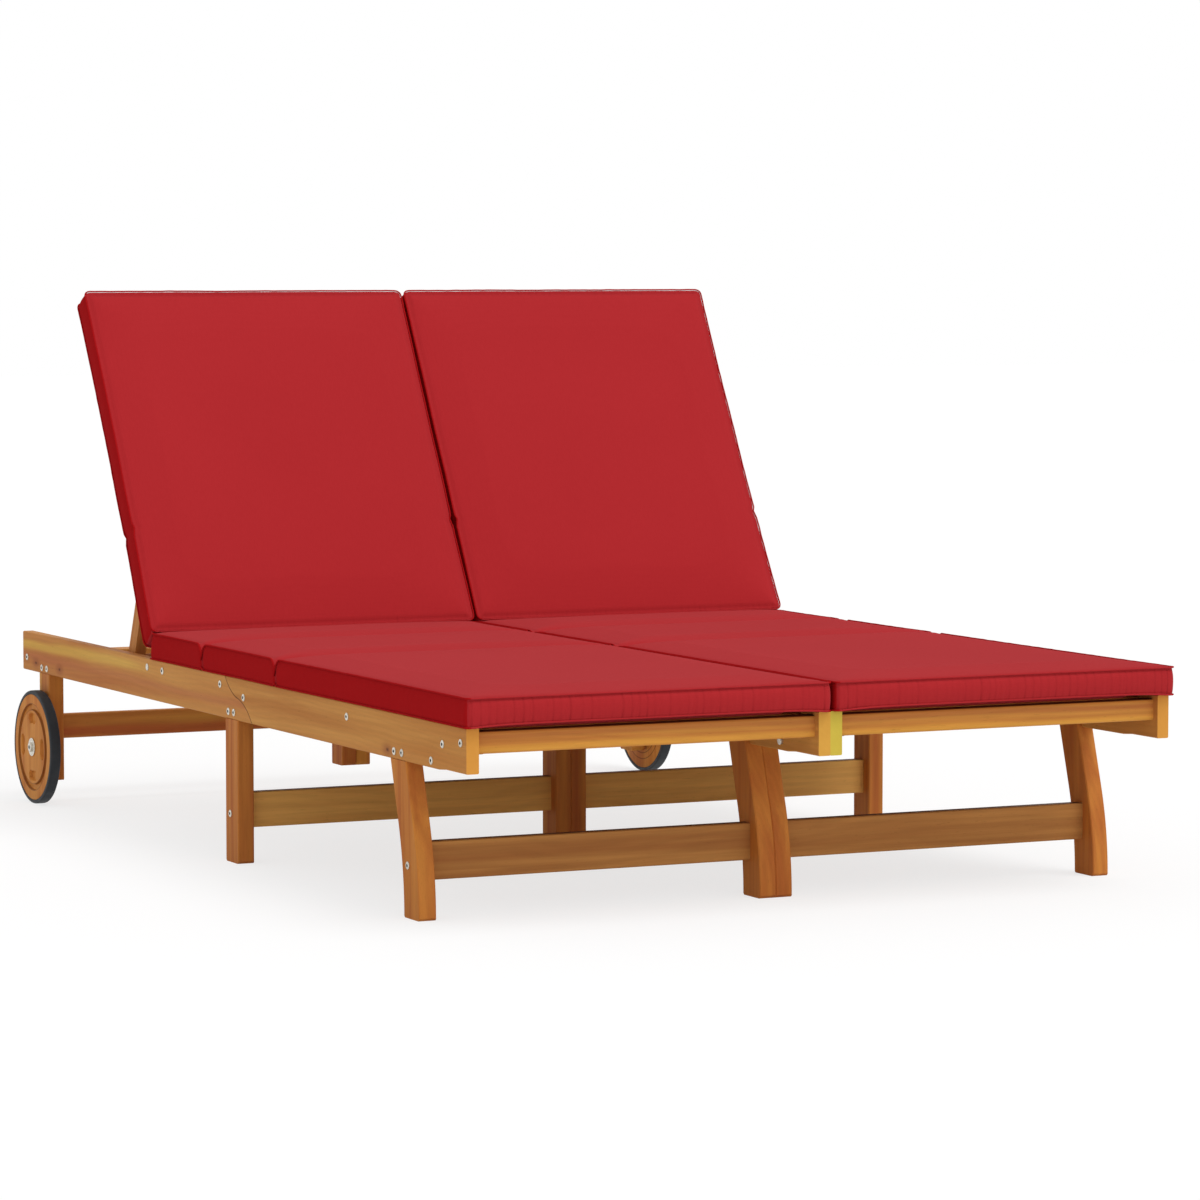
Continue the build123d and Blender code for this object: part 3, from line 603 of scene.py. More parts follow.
@dataclass(frozen=True)
class CanvasFinish:
    """Dyed woven canvas with a fine basket weave and a faint nap, with painted shade in its folds and beside its
    seams.
    """

    name: str = "red_canvas"
    colour: Colour = (171, 40, 44)
    shade: Colour = (162, 35, 39)
    # fold: colour of the painted shade in the folds and beside the seams
    fold: Colour = (112, 12, 18)
    thread_pitch: float = 0.0011
    tilt: float = 0.0
    sheen: float = 0.045
    gloss: float = 0.0
    slub_scale: Triple = (700.0, 90.0, 90.0)
    cloud_scale: float = 3.5
    weave_share: float = 0.35
    slub_share: float = 0.4
    cloud_share: float = 0.25
    relief: float = 0.00025
    relief_strength: float = 0.3
    weave_relief: float = 0.7
    slub_relief: float = 0.5
    side_weave_share: float = 0.6
    shade_span: tuple[float, float] = (0.25, 0.75)
    rough_tones: tuple[float, float] = (0.92, 0.84)
    sheen_roughness: float = 0.6

    def material(self) -> bpy.types.Material:
        """Build the material.

        Returns:
            The finished canvas.
        """
        bench = ShaderBench(self.name)
        place = bench.turned_places(self.tilt)
        threads = bench.vector("MULTIPLY", place, [math.pi / self.thread_pitch] * 3)
        wavy = bench.split(bench.vector("SINE", threads.outputs[0]).outputs[0])
        weave = bench.math("MULTIPLY", wavy["X"], wavy["Y"])
        side_weave = bench.math("MULTIPLY", bench.math("ADD", wavy["X"], wavy["Y"]), wavy["Z"])
        weave = bench.math("ADD", weave, bench.math("MULTIPLY", side_weave, self.side_weave_share))
        weave = bench.spread(weave, -1.0, 1.0, 0.0, 1.0)
        slubs = bench.cloud(bench.vector("MULTIPLY", place, self.slub_scale).outputs[0], 1.0, 2.0)
        cloudy = bench.cloud(place, self.cloud_scale, 2.0)
        share = bench.math("ADD", bench.math("MULTIPLY", weave, self.weave_share),
                           bench.math("MULTIPLY", slubs, self.slub_share))
        share = bench.math("ADD", share, bench.math("MULTIPLY", cloudy, self.cloud_share))
        colour = bench.blend(bench.spread(share, *self.shade_span, 0.0, 1.0), linear(self.shade), linear(self.colour))
        # Painted shade: darkened towards the fold colour in the folds and beside the seams.
        fold = bench.add("ShaderNodeAttribute", attribute_name="fold").outputs["Fac"]
        colour = bench.blend(fold, colour, linear(self.fold))
        bench.join(colour, bench.surface.inputs["Base Color"])
        bench.join(bench.spread(weave, 0.0, 1.0, *self.rough_tones), bench.surface.inputs["Roughness"])
        bench.surface.inputs["Specular IOR Level"].default_value = self.gloss
        bench.surface.inputs["Sheen Weight"].default_value = self.sheen
        bench.surface.inputs["Sheen Roughness"].default_value = self.sheen_roughness
        relief = bench.math("ADD", bench.math("MULTIPLY", weave, self.weave_relief),
                            bench.math("MULTIPLY", slubs, self.slub_relief))
        bench.raise_surface(relief, self.relief_strength, self.relief)
        return bench.material


@dataclass(frozen=True)
class ZincFinish:
    """Zinc-plated steel, brushed dull, for screws, washers and bolts; a dark copy of it is painted shade in the head
    sockets.
    """

    name: str = "zinc_steel"
    colour: Colour = (222, 218, 206)
    # The spots' second tone: wear on the plain zinc, and part of the painted shade in the dark socket copy.
    wear_and_shade: Colour = (188, 184, 174)
    roughness: float = 0.34
    metallic: float = 1.0
    spot_scale: float = 420.0
    brush_scale: float = 1500.0
    relief: float = 0.0001
    relief_strength: float = 0.15
    wear_and_shade_span: tuple[float, float] = (0.35, 0.7)
    rough_span: tuple[float, float] = (0.3, 0.7)
    smoothest: float = 0.06
    roughest: float = 0.14

    def material(self) -> bpy.types.Material:
        """Build the material.

        Returns:
            The finished steel.
        """
        bench = ShaderBench(self.name)
        place = bench.places()
        spots = bench.cloud(place, self.spot_scale, 3.0)
        colour = bench.blend(bench.spread(spots, *self.wear_and_shade_span, 0.0, 1.0), linear(self.colour), linear(self.wear_and_shade))
        bench.join(colour, bench.surface.inputs["Base Color"])
        bench.surface.inputs["Metallic"].default_value = self.metallic
        bench.join(bench.spread(spots, *self.rough_span, self.roughness - self.smoothest,
                                self.roughness + self.roughest),
                   bench.surface.inputs["Roughness"])
        bench.raise_surface(bench.cloud(place, self.brush_scale, 2.0), self.relief_strength, self.relief)
        return bench.material


@dataclass(frozen=True)
class RubberFinish:
    """Black moulded rubber, a little bloomed."""

    name: str = "tyre_rubber"
    colour: Colour = (27, 32, 37)
    bloom: Colour = (46, 51, 56)
    gloss: float = 0.4
    dust_scale: float = 60.0
    skin_scale: float = 900.0
    relief: float = 0.0003
    relief_strength: float = 0.3
    bloom_span: tuple[float, float] = (0.5, 0.8)
    bloom_share: float = 0.7
    rough_span: tuple[float, float] = (0.3, 0.8)
    rough_tones: tuple[float, float] = (0.55, 0.75)

    def material(self) -> bpy.types.Material:
        """Build the material.

        Returns:
            The finished rubber.
        """
        bench = ShaderBench(self.name)
        place = bench.places()
        dust = bench.cloud(place, self.dust_scale, 4.0)
        bloomed = bench.spread(dust, *self.bloom_span, 0.0, self.bloom_share)
        colour = bench.blend(bloomed, linear(self.colour), linear(self.bloom))
        bench.join(colour, bench.surface.inputs["Base Color"])
        bench.join(bench.spread(dust, *self.rough_span, *self.rough_tones), bench.surface.inputs["Roughness"])
        bench.surface.inputs["Specular IOR Level"].default_value = self.gloss
        bench.raise_surface(bench.cloud(place, self.skin_scale, 3.0), self.relief_strength, self.relief)
        return bench.material


@dataclass
class MeshDraft:
    """Points and faces of a piece before it becomes an object."""

    points: list[Vector] = field(default_factory=list)
    faces: list[tuple[int, ...]] = field(default_factory=list)

    def add_points(self, points: list[Vector]) -> list[int]:
        """Add points.

        Args:
            points: the new points.

        Returns:
            Their numbers.
        """
        start = len(self.points)
        self.points.extend(points)
        return list(range(start, len(self.points)))

    def bridge(self, first: list[int], second: list[int], closed: bool = True) -> None:
        """Join two rows of points with four-sided faces.

        Args:
            first: one row's numbers.
            second: the other row's, as many.
            closed: whether the rows are rings.
        """
        count = len(first)
        for index in range(count if closed else count - 1):
            follow = (index + 1) % count
            self.faces.append((first[index], first[follow], second[follow], second[index]))

    def piece(self, name: str, outward: bool = True) -> bpy.types.Object:
        """Turn the draft into a smooth-shaded object.

        Args:
            name: the piece's name.
            outward: whether to turn all faces outward.

        Returns:
            The new object.
        """
        mesh = bpy.data.meshes.new(name)
        mesh.from_pydata(self.points, [], self.faces)
        mesh.update()
        if outward:
            work = bmesh.new()
            work.from_mesh(mesh)
            bmesh.ops.recalc_face_normals(work, faces=work.faces)
            work.to_mesh(mesh)
            work.free()
        mesh.polygons.foreach_set("use_smooth", [True] * len(mesh.polygons))
        made = bpy.data.objects.new(name, mesh)
        bpy.context.scene.collection.objects.link(made)
        return made


def turns(steps: int) -> list[float]:
    """Evenly spaced directions round a full turn."""
    return [2 * math.pi * step / steps for step in range(steps)]


def circle(x: float, reach: float, middle: tuple[float, float], steps: int) -> list[Vector]:
    """Points on a circle that is square to X.

    Args:
        x: the circle's place along X.
        reach: its radius.
        middle: Y and Z of its middle.
        steps: the number of points.

    Returns:
        The points.
    """
    return [Vector((x, middle[0] + reach * math.cos(turn), middle[1] + reach * math.sin(turn)))
            for turn in turns(steps)]


def middle_of(low: Vector, high: Vector) -> tuple[float, float]:
    """Y and Z of the middle of a box."""
    return (low.y + high.y) / 2, (low.z + high.z) / 2


def spaced(start: float, end: float, near: tuple[float, ...], pitch: float,
           anchors: tuple[float, ...] = (), about: tuple[float, ...] = ()) -> list[float]:
    """Places along a line, close together at its ends and at anchors.

    Args:
        start: the line's start.
        end: the line's end.
        near: distances from both ends that get a place.
        pitch: widest step elsewhere.
        anchors: places that get close steps on both sides.
        about: distances from an anchor that get a place.

    Returns:
        The places in order.
    """
    marks = [start + step for step in near] + [end - step for step in near]
    for anchor in anchors:
        marks += [anchor + step for step in about] + [anchor - step for step in about]
    marks = sorted(set(round(mark, PLACE_DIGITS) for mark in marks))
    filled = [marks[0]]
    for mark in marks[1:]:
        gap = mark - filled[-1]
        steps = max(1, math.ceil(gap / pitch - STEP_SLACK))
        low = filled[-1]
        filled += [low + gap * (number + 1) / steps for number in range(steps)]
    return filled


@dataclass
class Cushion:
    """A boxed canvas cushion with a corded top and bottom seam, blown up as cloth.

    It is drawn flat, with X from its middle, Y from its start and Z from the top of the rails. Shares
    that are named start_ hold before it is blown up. Its inner side, towards the other lounger, lies
    at +X where inner_way is 1 and at -X where it is -1. Pairs of sizes, strengths and fold shares hold
    the value at rest and what is added to it as a fold or a noise grows.
    """

    name: str
    node: str
    body: str
    length: float
    place: Matrix
    width: float = 0.606
    border: float = 0.0435
    channels: tuple[float, ...] = ()
    side_bulge: float = 0.003
    side_undercut: float = 0.25
    draw_in: float = 0.004
    inner_draw_in: float = 0.0012
    inner_way: float = 1.0
    crown: float = 0.0042
    corner_radius: float = 0.008
    channel_depth: float = 0.026
    channel_half_width: float = 0.021
    channel_middle_share: float = 0.22
    channel_fade: float = 0.045
    channel_tuck: float = 0.008
    side_tucks: tuple[float, ...] = ()
    belly_depth: float = 0.006
    belly_inset: float = 0.050
    belly_bevel: float = 0.008
    belly_round: float = 0.005
    cord_radius: float = 0.0014
    seam_dip: float = 0.0011
    roll: float = 0.0028
    roll_reach: float = 0.0055
    foot_runs: tuple[float, float] = (0.0, 0.0)
    foot_run_reach: float = 0.035
    foot_lift: float = 0.0
    foot_notch: float = 0.0045
    pucker_pitch: float = 0.0135
    pucker_depth: float = 0.0015
    side_pucker_share: float = 0.3
    pucker_reach: float = 0.03
    pucker_fade: float = 0.011
    pucker_wander: Triple = (23.0, 61.0, 37.0)
    pucker_waver: float = 4.5
    seam_clear: float = 0.0015
    seam_offset: float = 0.006
    seam_spread: float = 0.004
    seam_shade: float = 0.4
    fold_shade: float = 0.58
    fold_foot_share: float = 0.9
    fold_head_share: float = 0.35
    cap: float = 0.006
    pitch: float = 0.0075
    cross_pitch: float = 0.005
    edge_steps: tuple[float, ...] = (0.0, 0.0022, 0.0055, 0.0105, 0.017)
    channel_steps: tuple[float, ...] = (0.0, 0.0014, 0.0038, 0.0075, 0.0125, 0.0185, 0.0255)
    seed: float = 0.0
    side_wander: float = 0.0007
    end_wander: float = 0.0008
    side_tuck_depth: float = 0.0035
    side_tuck_half_width: float = 0.006
    channel_tuck_half_width: float = 0.0032
    foot_notch_half_width: float = 0.0045
    start_crown_share: float = 0.35
    start_bulge_share: float = 0.6
    cord_waver: float = 0.00035
    cord_rise: float = 0.0004
    cord_steps: int = 8
    top_cord_outset: float = 0.0010
    bottom_cord_outset: float = 0.0011
    side_facing: float = 0.75
    long_side_facing: float = 0.7
    fill: float = 0.85
    cord_side_reach: float = 0.008
    foot_lift_inset: float = 0.012
    border_shares: tuple[float, ...] = (0.965, 0.925, 0.86, 0.72, 0.50, 0.26, 0.10, 0.035)
    border_rises: tuple[float, ...] = (-0.85, -0.6, 0.1, 0.7, 0.9, 0.72, 0.25, -0.3)
    draw_in_power: float = 0.7
    crown_powers: Triple = (4, 0.8, 0.45)
    side_wander_scale: float = 9.0
    end_wander_scale: float = 11.0
    cord_waver_scale: float = 55.0
    foot_lift_power: int = 8
    tuck_heights: tuple[float, float] = (0.15, 0.85)
    foot_tuck_share: float = 0.4
    channel_reach: float = 0.001
    liveliness: Triple = (0.5, 0.8, 0.1)
    fold_sharpness: int = 5
    pucker_shares: tuple[float, float] = (0.35, 1.5)
    pucker_sizes: tuple[float, float] = (0.55, 0.9)
    top_share: float = 0.8
    top_pucker_share: float = 0.45
    top_fold_shares: tuple[float, float] = (0.55, 0.45)
    side_strengths: tuple[float, float] = (0.45, 0.55)
    side_strength_power: float = 0.35
    fold_middle_share: float = 0.35
    bottom_cord_rise_share: float = 0.8

    def __post_init__(self) -> None:
        """Work out the grid that the cushion is drawn on."""
        self.half = self.width / 2 - self.side_bulge
        self.start = self.side_bulge
        self.end = self.length - self.side_bulge
        self.columns = spaced(-self.half, self.half, self.edge_steps, self.cross_pitch)
        self.rows = spaced(self.start, self.end, self.edge_steps, self.pitch, self.channels, self.channel_steps)
        self.seam: list[int] = []
        self.draft = MeshDraft()
        self.piece: bpy.types.Object | None = None

    def _panel_share(self, y: float) -> float:
        """How far along its own panel a place lies.

        Args:
            y: the place along the cushion.

        Returns:
            The share, 0 and 1 at the panel's seams.
        """
        marks = [self.start, *self.channels, self.end]
        for low, high in zip(marks, marks[1:]):
            if y <= high:
                return max((y - low) / (high - low), 0.0)
        return 1.0

    def _half_width(self, y: float, x: float) -> float:
        """How far the side that a point is nearest lies from the middle, drawn in between the seams.

        Args:
            y: the point's place along the cushion.
            x: its place across it.

        Returns:
            The distance.
        """
        share = self._panel_share(y)
        draw_in = self.inner_draw_in if x * self.inner_way > 0 else self.draw_in
        wander = self.side_wander * noise.noise(Vector((self.seed + 3.0, y * self.side_wander_scale, 0.0)))
        wander -= sum(self.side_tuck_depth * math.exp(-((y - tuck) / self.side_tuck_half_width) ** 2)
                      for tuck in self.side_tucks)
        return self.half - draw_in * (4 * share * (1 - share)) ** self.draw_in_power + wander

    def _drop(self, y: float, x: float) -> float:
        """How far a sewn channel pulls the top down: deep at the sides and shallow between them.

        Args:
            y: the place along the cushion.
            x: the place across it.

        Returns:
            The depth.
        """
        drop = 0.0
        for channel in self.channels:
            share = min(abs(y - channel) / self.channel_half_width, 1.0)
            drop = max(drop, self.channel_depth * (1 - math.sqrt(1 - (1 - share) ** 2)))
        inward = max(self.half - abs(x), 0.0)
        middle = self.channel_middle_share
        return drop * (middle + (1 - middle) * math.exp(-(inward / self.channel_fade) ** 2))

    def _tuck(self, y: float) -> float:
        """How far a sewn channel pulls the border in.

        Args:
            y: the place along the cushion.

        Returns:
            The distance.
        """
        tuck = 0.0
        for channel in self.channels:
            away = (y - channel) / self.channel_tuck_half_width
            tuck = max(tuck, self.channel_tuck * math.exp(-away ** 2))
        return tuck

    def _rounded(self, x: float, y: float) -> tuple[float, float]:
        """Move a grid point so that the outline's corners are round.

        Args:
            x: its place across.
            y: its place along.

        Returns:
            Its new places across and along.
        """
        radius = self.corner_radius
        middle_x = math.copysign(self.half - radius, x)
        middle_y = self.start + radius if y < self.length / 2 else self.end - radius
        across = (x - middle_x) / radius * math.copysign(1, x)
        along = (middle_y - y) / radius if y < self.length / 2 else (y - middle_y) / radius
        if across <= 0 or along <= 0:
            return x, y
        new_across = across * math.sqrt(1 - along * along / 2)
        new_along = along * math.sqrt(1 - across * across / 2)
        sign_y = -1 if y < self.length / 2 else 1
        return middle_x + math.copysign(new_across * radius, x), middle_y + sign_y * new_along * radius

    def _top_point(self, x: float, y: float, crown: float) -> Vector:
        """A point of the top panel.

        Args:
            x: its grid place across.
            y: its grid place along.
            crown: height of the crown in the middle of a panel.

        Returns:
            The point.
        """
        flat_x, flat_y = self._rounded(x, y)
        share_across = min(abs(x) / self.half, 1.0)
        share_along = self._panel_share(y)
        flatness, fall, rounding = self.crown_powers
        rise = crown * (1 - share_across ** flatness) ** fall * (4 * share_along * (1 - share_along)) ** rounding
        shifted = flat_x * self._half_width(y, x) / self.half
        if y in (self.rows[0], self.rows[-1]):
            flat_y += self.end_wander * noise.noise(Vector((x * self.end_wander_scale, self.seed + 7.0, 0.0)))
        edge = min(self.half - abs(x), y - self.start, self.end - y)
        rise += self.roll * (1 - math.exp(-max(edge, 0.0) / self.roll_reach))
        return Vector((shifted, flat_y, self.border - self._drop(y, x) + rise))

    def _stretch(self, point: Vector, share: float) -> Vector:
        """Lean the ends of the border out at its foot, and lift its front foot a little off the bar.

        Args:
            point: a point of the border.
            share: its height, 1 at the top seam and 0 at the bottom one.

        Returns:
            The moved point.
        """
        moved = point.copy()
        near_start = max(0.0, 1 - (point.y - self.start) / self.foot_run_reach)
        near_end = max(0.0, 1 - (self.end - point.y) / self.foot_run_reach)
        moved.y += (1 - share) * (self.foot_runs[1] * near_end - self.foot_runs[0] * near_start)
        middle = max(0.0, 1 - (abs(point.x) / (self.half - self.foot_lift_inset)) ** self.foot_lift_power)
        moved.z += self.foot_lift * (1 - share) * middle * min(near_start, 1.0)
        for channel in self.channels:
            away = (point.y - channel) / self.foot_notch_half_width
            moved.z += self.foot_notch * (1 - share) * math.exp(-away ** 2)
        return moved

    def _ring(self) -> list[tuple[int, int]]:
        """Walk round the outline.

        Returns:
            The column and row of each grid place on it, in order.
        """
        last_x = len(self.columns) - 1
        last_y = len(self.rows) - 1
        ring = [(column, 0) for column in range(last_x)]
        ring += [(last_x, row) for row in range(last_y)]
        ring += [(column, last_y) for column in range(last_x, 0, -1)]
        ring += [(0, row) for row in range(last_y, 0, -1)]
        return ring

    @staticmethod
    def _outward(points: list[Vector]) -> list[Vector]:
        """Find the level direction out of the cushion at each point of its outline.

        Args:
            points: the outline's points.

        Returns:
            The directions, each of length 1.
        """
        count = len(points)
        result = []
        for index in range(count):
            along = points[(index + 1) % count] - points[index - 1]
            result.append(Vector((along.y, -along.x, 0.0)).normalized())
        return result

    def build(self) -> None:
        """Draw the top panel and the border, ready to be blown up."""
        crown = self.start_crown_share * self.crown
        grid = [self.draft.add_points([self._top_point(x, y, crown) for x in self.columns]) for y in self.rows]
        for low, high in zip(grid, grid[1:]):
            self.draft.bridge(low, high, closed=False)
        ring = self._ring()
        self.seam = [grid[row][column] for column, row in ring]
        outline = [self.draft.points[number].copy() for number in self.seam]
        normals = self._outward(outline)
        tucks = [self._tuck(self.rows[row]) for _, row in ring]
        above = self.seam
        rest = self.start_bulge_share
        shares = [*self.border_shares, 0.0]
        rises = [*self.border_rises, 0.0]
        lowest, height = self.tuck_heights
        for share, rise in zip(shares, rises):
            level = []
            for point, normal, tuck in zip(outline, normals, tucks):
                bulge = self.side_bulge * rise * (rest if rise > 0 else 1.0)
                if rise < 0 and abs(normal.x) > self.long_side_facing:
                    bulge *= self.side_undercut
                pulled = self.foot_tuck_share * tuck
                if share > 0:
                    pulled = tuck * math.sin(math.pi * (lowest + height * share)) ** 0.5
                moved = point + normal * (bulge - pulled)
                moved.z = point.z * share
                level.append(self._stretch(moved, share))
            numbers = self.draft.add_points(level)
            self.draft.bridge(above, numbers)
            above = numbers
        self.piece = self.draft.piece(self.name)
        self._hold(grid, above)
        LOG.info("%s drawn with %d points", self.name, len(self.draft.points))

    def _hold(self, grid: list[list[int]], foot: list[int]) -> None:
        """Say which points the seams hold still.

        Args:
            grid: the numbers of the top panel's points.
            foot: the numbers of the bottom seam's points.
        """
        group = self.piece.vertex_groups.new(name="held")
        group.add(self.seam, 1.0, "REPLACE")
        group.add(foot, 1.0, "REPLACE")
        for y, numbers in zip(self.rows, grid):
            if any(abs(y - channel) < self.channel_reach for channel in self.channels):
                group.add(numbers, 1.0, "REPLACE")

    def start_cloth(self) -> None:
        """Put the cloth on, filled with air and held at its seams."""
        cloth = self.piece.modifiers.new("air", "CLOTH")
        settings = cloth.settings
        settings.quality = 4
        settings.mass = 0.3
        settings.tension_stiffness = 18
        settings.compression_stiffness = 12
        settings.shear_stiffness = 8
        settings.bending_stiffness = 1.2
        settings.air_damping = 2.0
        settings.use_pressure = True
        settings.uniform_pressure_force = 4.0
        settings.effector_weights.gravity = 0.0
        settings.vertex_group_mass = "held"
        settings.pin_stiffness = 1.0
        cloth.point_cache.frame_start = 1
        cloth.point_cache.frame_end = CLOTH_FRAMES

    def keep_cloth(self) -> None:
        """Keep the blown-up shape, with no point moved further than the cap."""
        graph = bpy.context.evaluated_depsgraph_get()
        blown = self.piece.evaluated_get(graph).data
        furthest = 0.0
        for vertex, target in zip(self.piece.data.vertices, blown.vertices):
            move = target.co - vertex.co
            furthest = max(furthest, move.length)
            if move.length > self.cap:
                move = move.normalized() * self.cap
            vertex.co = vertex.co + move
        self.piece.modifiers.clear()
        LOG.info("%s blown up, furthest point %.1f mm", self.name, furthest * 1000)

    def _pucker(self, point: Vector) -> tuple[Vector, float]:
        """How far the gathered stitching moves a point.

        Args:
            point: a point in the cushion's own frame.

        Returns:
            Its movement, and how deep in a fold it lies, from 0 to 1.
        """
        to_side = self._half_width(point.y, point.x) - abs(point.x)
        to_end = min(point.y - self.start, self.end - point.y)
        nearest = min(to_side, to_end)
        if nearest > self.pucker_reach:
            return Vector((0.0, 0.0, 0.0)), 0.0
        at_end = to_end < to_side
        along = point.x if at_end else point.y
        timing, livening, sizing = self.pucker_wander
        waver = noise.noise(Vector((along * timing, self.seed + 1.7, 0.0)))
        swing = math.sin(2 * math.pi * along / self.pucker_pitch + self.pucker_waver * waver)
        usual, spare, least = self.liveliness
        lively = usual + spare * noise.noise(Vector((along * livening, self.seed + 8.3, 4.0)))
        inward = max(lively, least) * max(swing, 0.0) ** self.fold_sharpness
        wave = self.pucker_shares[0] * swing - self.pucker_shares[1] * inward
        usual, spare = self.pucker_sizes
        size = self.pucker_depth * (usual + spare * noise.noise(Vector((along * sizing, self.seed + 5.1, 2.0))))
        top = self.border - self._drop(point.y, point.x)
        side_share = 1.0 if at_end else self.side_pucker_share
        size *= side_share
        if nearest > self.seam_clear and point.z > top * self.top_share:
            beside = math.exp(-((nearest - self.seam_offset) / self.seam_spread) ** 2)
            fade = math.exp(-nearest / self.pucker_fade)
            move = self.top_pucker_share * wave * size * fade - self.seam_dip * beside
            usual, spare = self.top_fold_shares
            return Vector((0.0, 0.0, move)), self.seam_shade * side_share * beside * (usual + spare * inward)
        share = min(max(point.z / top, 0.0), 1.0)
        off_middle = abs(2 * share - 1)
        usual, spare = self.side_strengths
        strength = wave * size * (usual + spare * off_middle) * math.sin(math.pi * share) ** self.side_strength_power
        edge_share = self.fold_foot_share if share < 0.5 else self.fold_head_share
        depth = self.fold_shade * inward * (self.fold_middle_share + edge_share * off_middle) * side_share
        if at_end:
            return Vector((0.0, strength * math.copysign(1.0, point.y - self.length / 2), 0.0)), depth
        return Vector((strength * math.copysign(1.0, point.x), 0.0, 0.0)), depth

    def _cap_bottom(self) -> None:
        """Close the underside: flat on the rails, with a flat belly between them."""
        work = bmesh.new()
        work.from_mesh(self.piece.data)
        rim = [edge for edge in work.edges if edge.is_boundary]
        insets = ((self.belly_inset - self.belly_bevel, 0.0), (self.belly_inset, self.belly_depth * 0.5),
                  (self.belly_inset + self.belly_round, self.belly_depth))
        for inset, depth in insets:
            made = bmesh.ops.extrude_edge_only(work, edges=rim)["geom"]
            points = [item for item in made if isinstance(item, bmesh.types.BMVert)]
            rim = [item for item in made if isinstance(item, bmesh.types.BMEdge)]
            room_x = self.half - self.draw_in - inset
            low, high = self.start + inset, self.end - inset
            for point in points:
                point.co.x = min(max(point.co.x, -room_x), room_x)
                point.co.y = min(max(point.co.y, low), high)
                point.co.z = -depth
        bmesh.ops.contextual_create(work, geom=rim)
        bmesh.ops.remove_doubles(work, verts=work.verts, dist=2 * MERGE_REACH)
        bmesh.ops.recalc_face_normals(work, faces=work.faces)
        work.to_mesh(self.piece.data)
        work.free()

    def _cord(self, level: float, outset: float, name: str) -> bpy.types.Object:
        """The covered cord sewn into a seam.

        Args:
            level: 1 for the top seam and 0 for the bottom seam.
            outset: how far its middle stands out of the seam.
            name: the cord's name.

        Returns:
            The cord.
        """
        outline = [self.draft.points[number].copy() for number in self.seam]
        normals = self._outward(outline)
        path = []
        for point, normal in zip(outline, normals):
            along = point.x + point.y
            waver = self.cord_waver * noise.noise(Vector((along * self.cord_waver_scale, self.seed + 9.0, level)))
            spot = point + normal * (outset + waver)
            rise = waver + self.cord_rise if level else self.cord_radius * self.bottom_cord_rise_share
            spot.z = point.z * level + rise
            path.append(self._stretch(spot, level))
        draft = MeshDraft()
        count = len(path)
        rings = []
        for index in range(count):
            along = (path[(index + 1) % count] - path[index - 1]).normalized()
            side = along.cross(Vector((0.0, 0.0, 1.0))).normalized()
            up = side.cross(along)
            rings.append(draft.add_points([
                path[index] + (side * math.cos(turn) + up * math.sin(turn)) * self.cord_radius
                for turn in turns(self.cord_steps)]))
        for first, second in zip(rings, rings[1:] + rings[:1]):
            draft.bridge(first, second)
        return draft.piece(name)

    def finish(self, canvas: bpy.types.Material, side_canvas: bpy.types.Material) -> None:
        """Round the faces, gather the seams, cord them and put the cushion in its place.

        Args:
            canvas: the cover's material.
            side_canvas: the material of the long border strips, a darker copy of the canvas that paints shade on them.
        """
        rounding = self.piece.modifiers.new("rounding", "SUBSURF")
        rounding.levels = 1
        graph = bpy.context.evaluated_depsgraph_get()
        rounded = bpy.data.meshes.new_from_object(self.piece.evaluated_get(graph))
        self.piece.modifiers.clear()
        self.piece.data = rounded
        # The fold attribute holds each point's share of painted shade.
        folds = rounded.attributes.new("fold", "FLOAT", "POINT")
        for vertex in rounded.vertices:
            move, folds.data[vertex.index].value = self._pucker(vertex.co)
            vertex.co = vertex.co + move
        self._cap_bottom()
        rounded.polygons.foreach_set("use_smooth", [True] * len(rounded.polygons))
        pieces = [self.piece,
                  self._cord(1.0, self.top_cord_outset, self.name + "_top_cord"),
                  self._cord(0.0, self.bottom_cord_outset, self.name + "_bottom_cord")]
        for piece in pieces:
            dress(piece, canvas)
            piece.data.materials.append(side_canvas)
            for polygon in piece.data.polygons:
                # Faces that look sideways, and the cords along the long sides, get the darker side canvas: painted
                # shade.
                faces_side = abs(polygon.normal.x) > self.side_facing
                beside = abs(polygon.center.x) > self.half - self.cord_side_reach
                if faces_side if piece is self.piece else beside:
                    polygon.material_index = 1
            piece.data.transform(self.place)
            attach(piece, self.body)
        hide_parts(self.node)
        LOG.info("%s in place on %s", self.name, self.body)


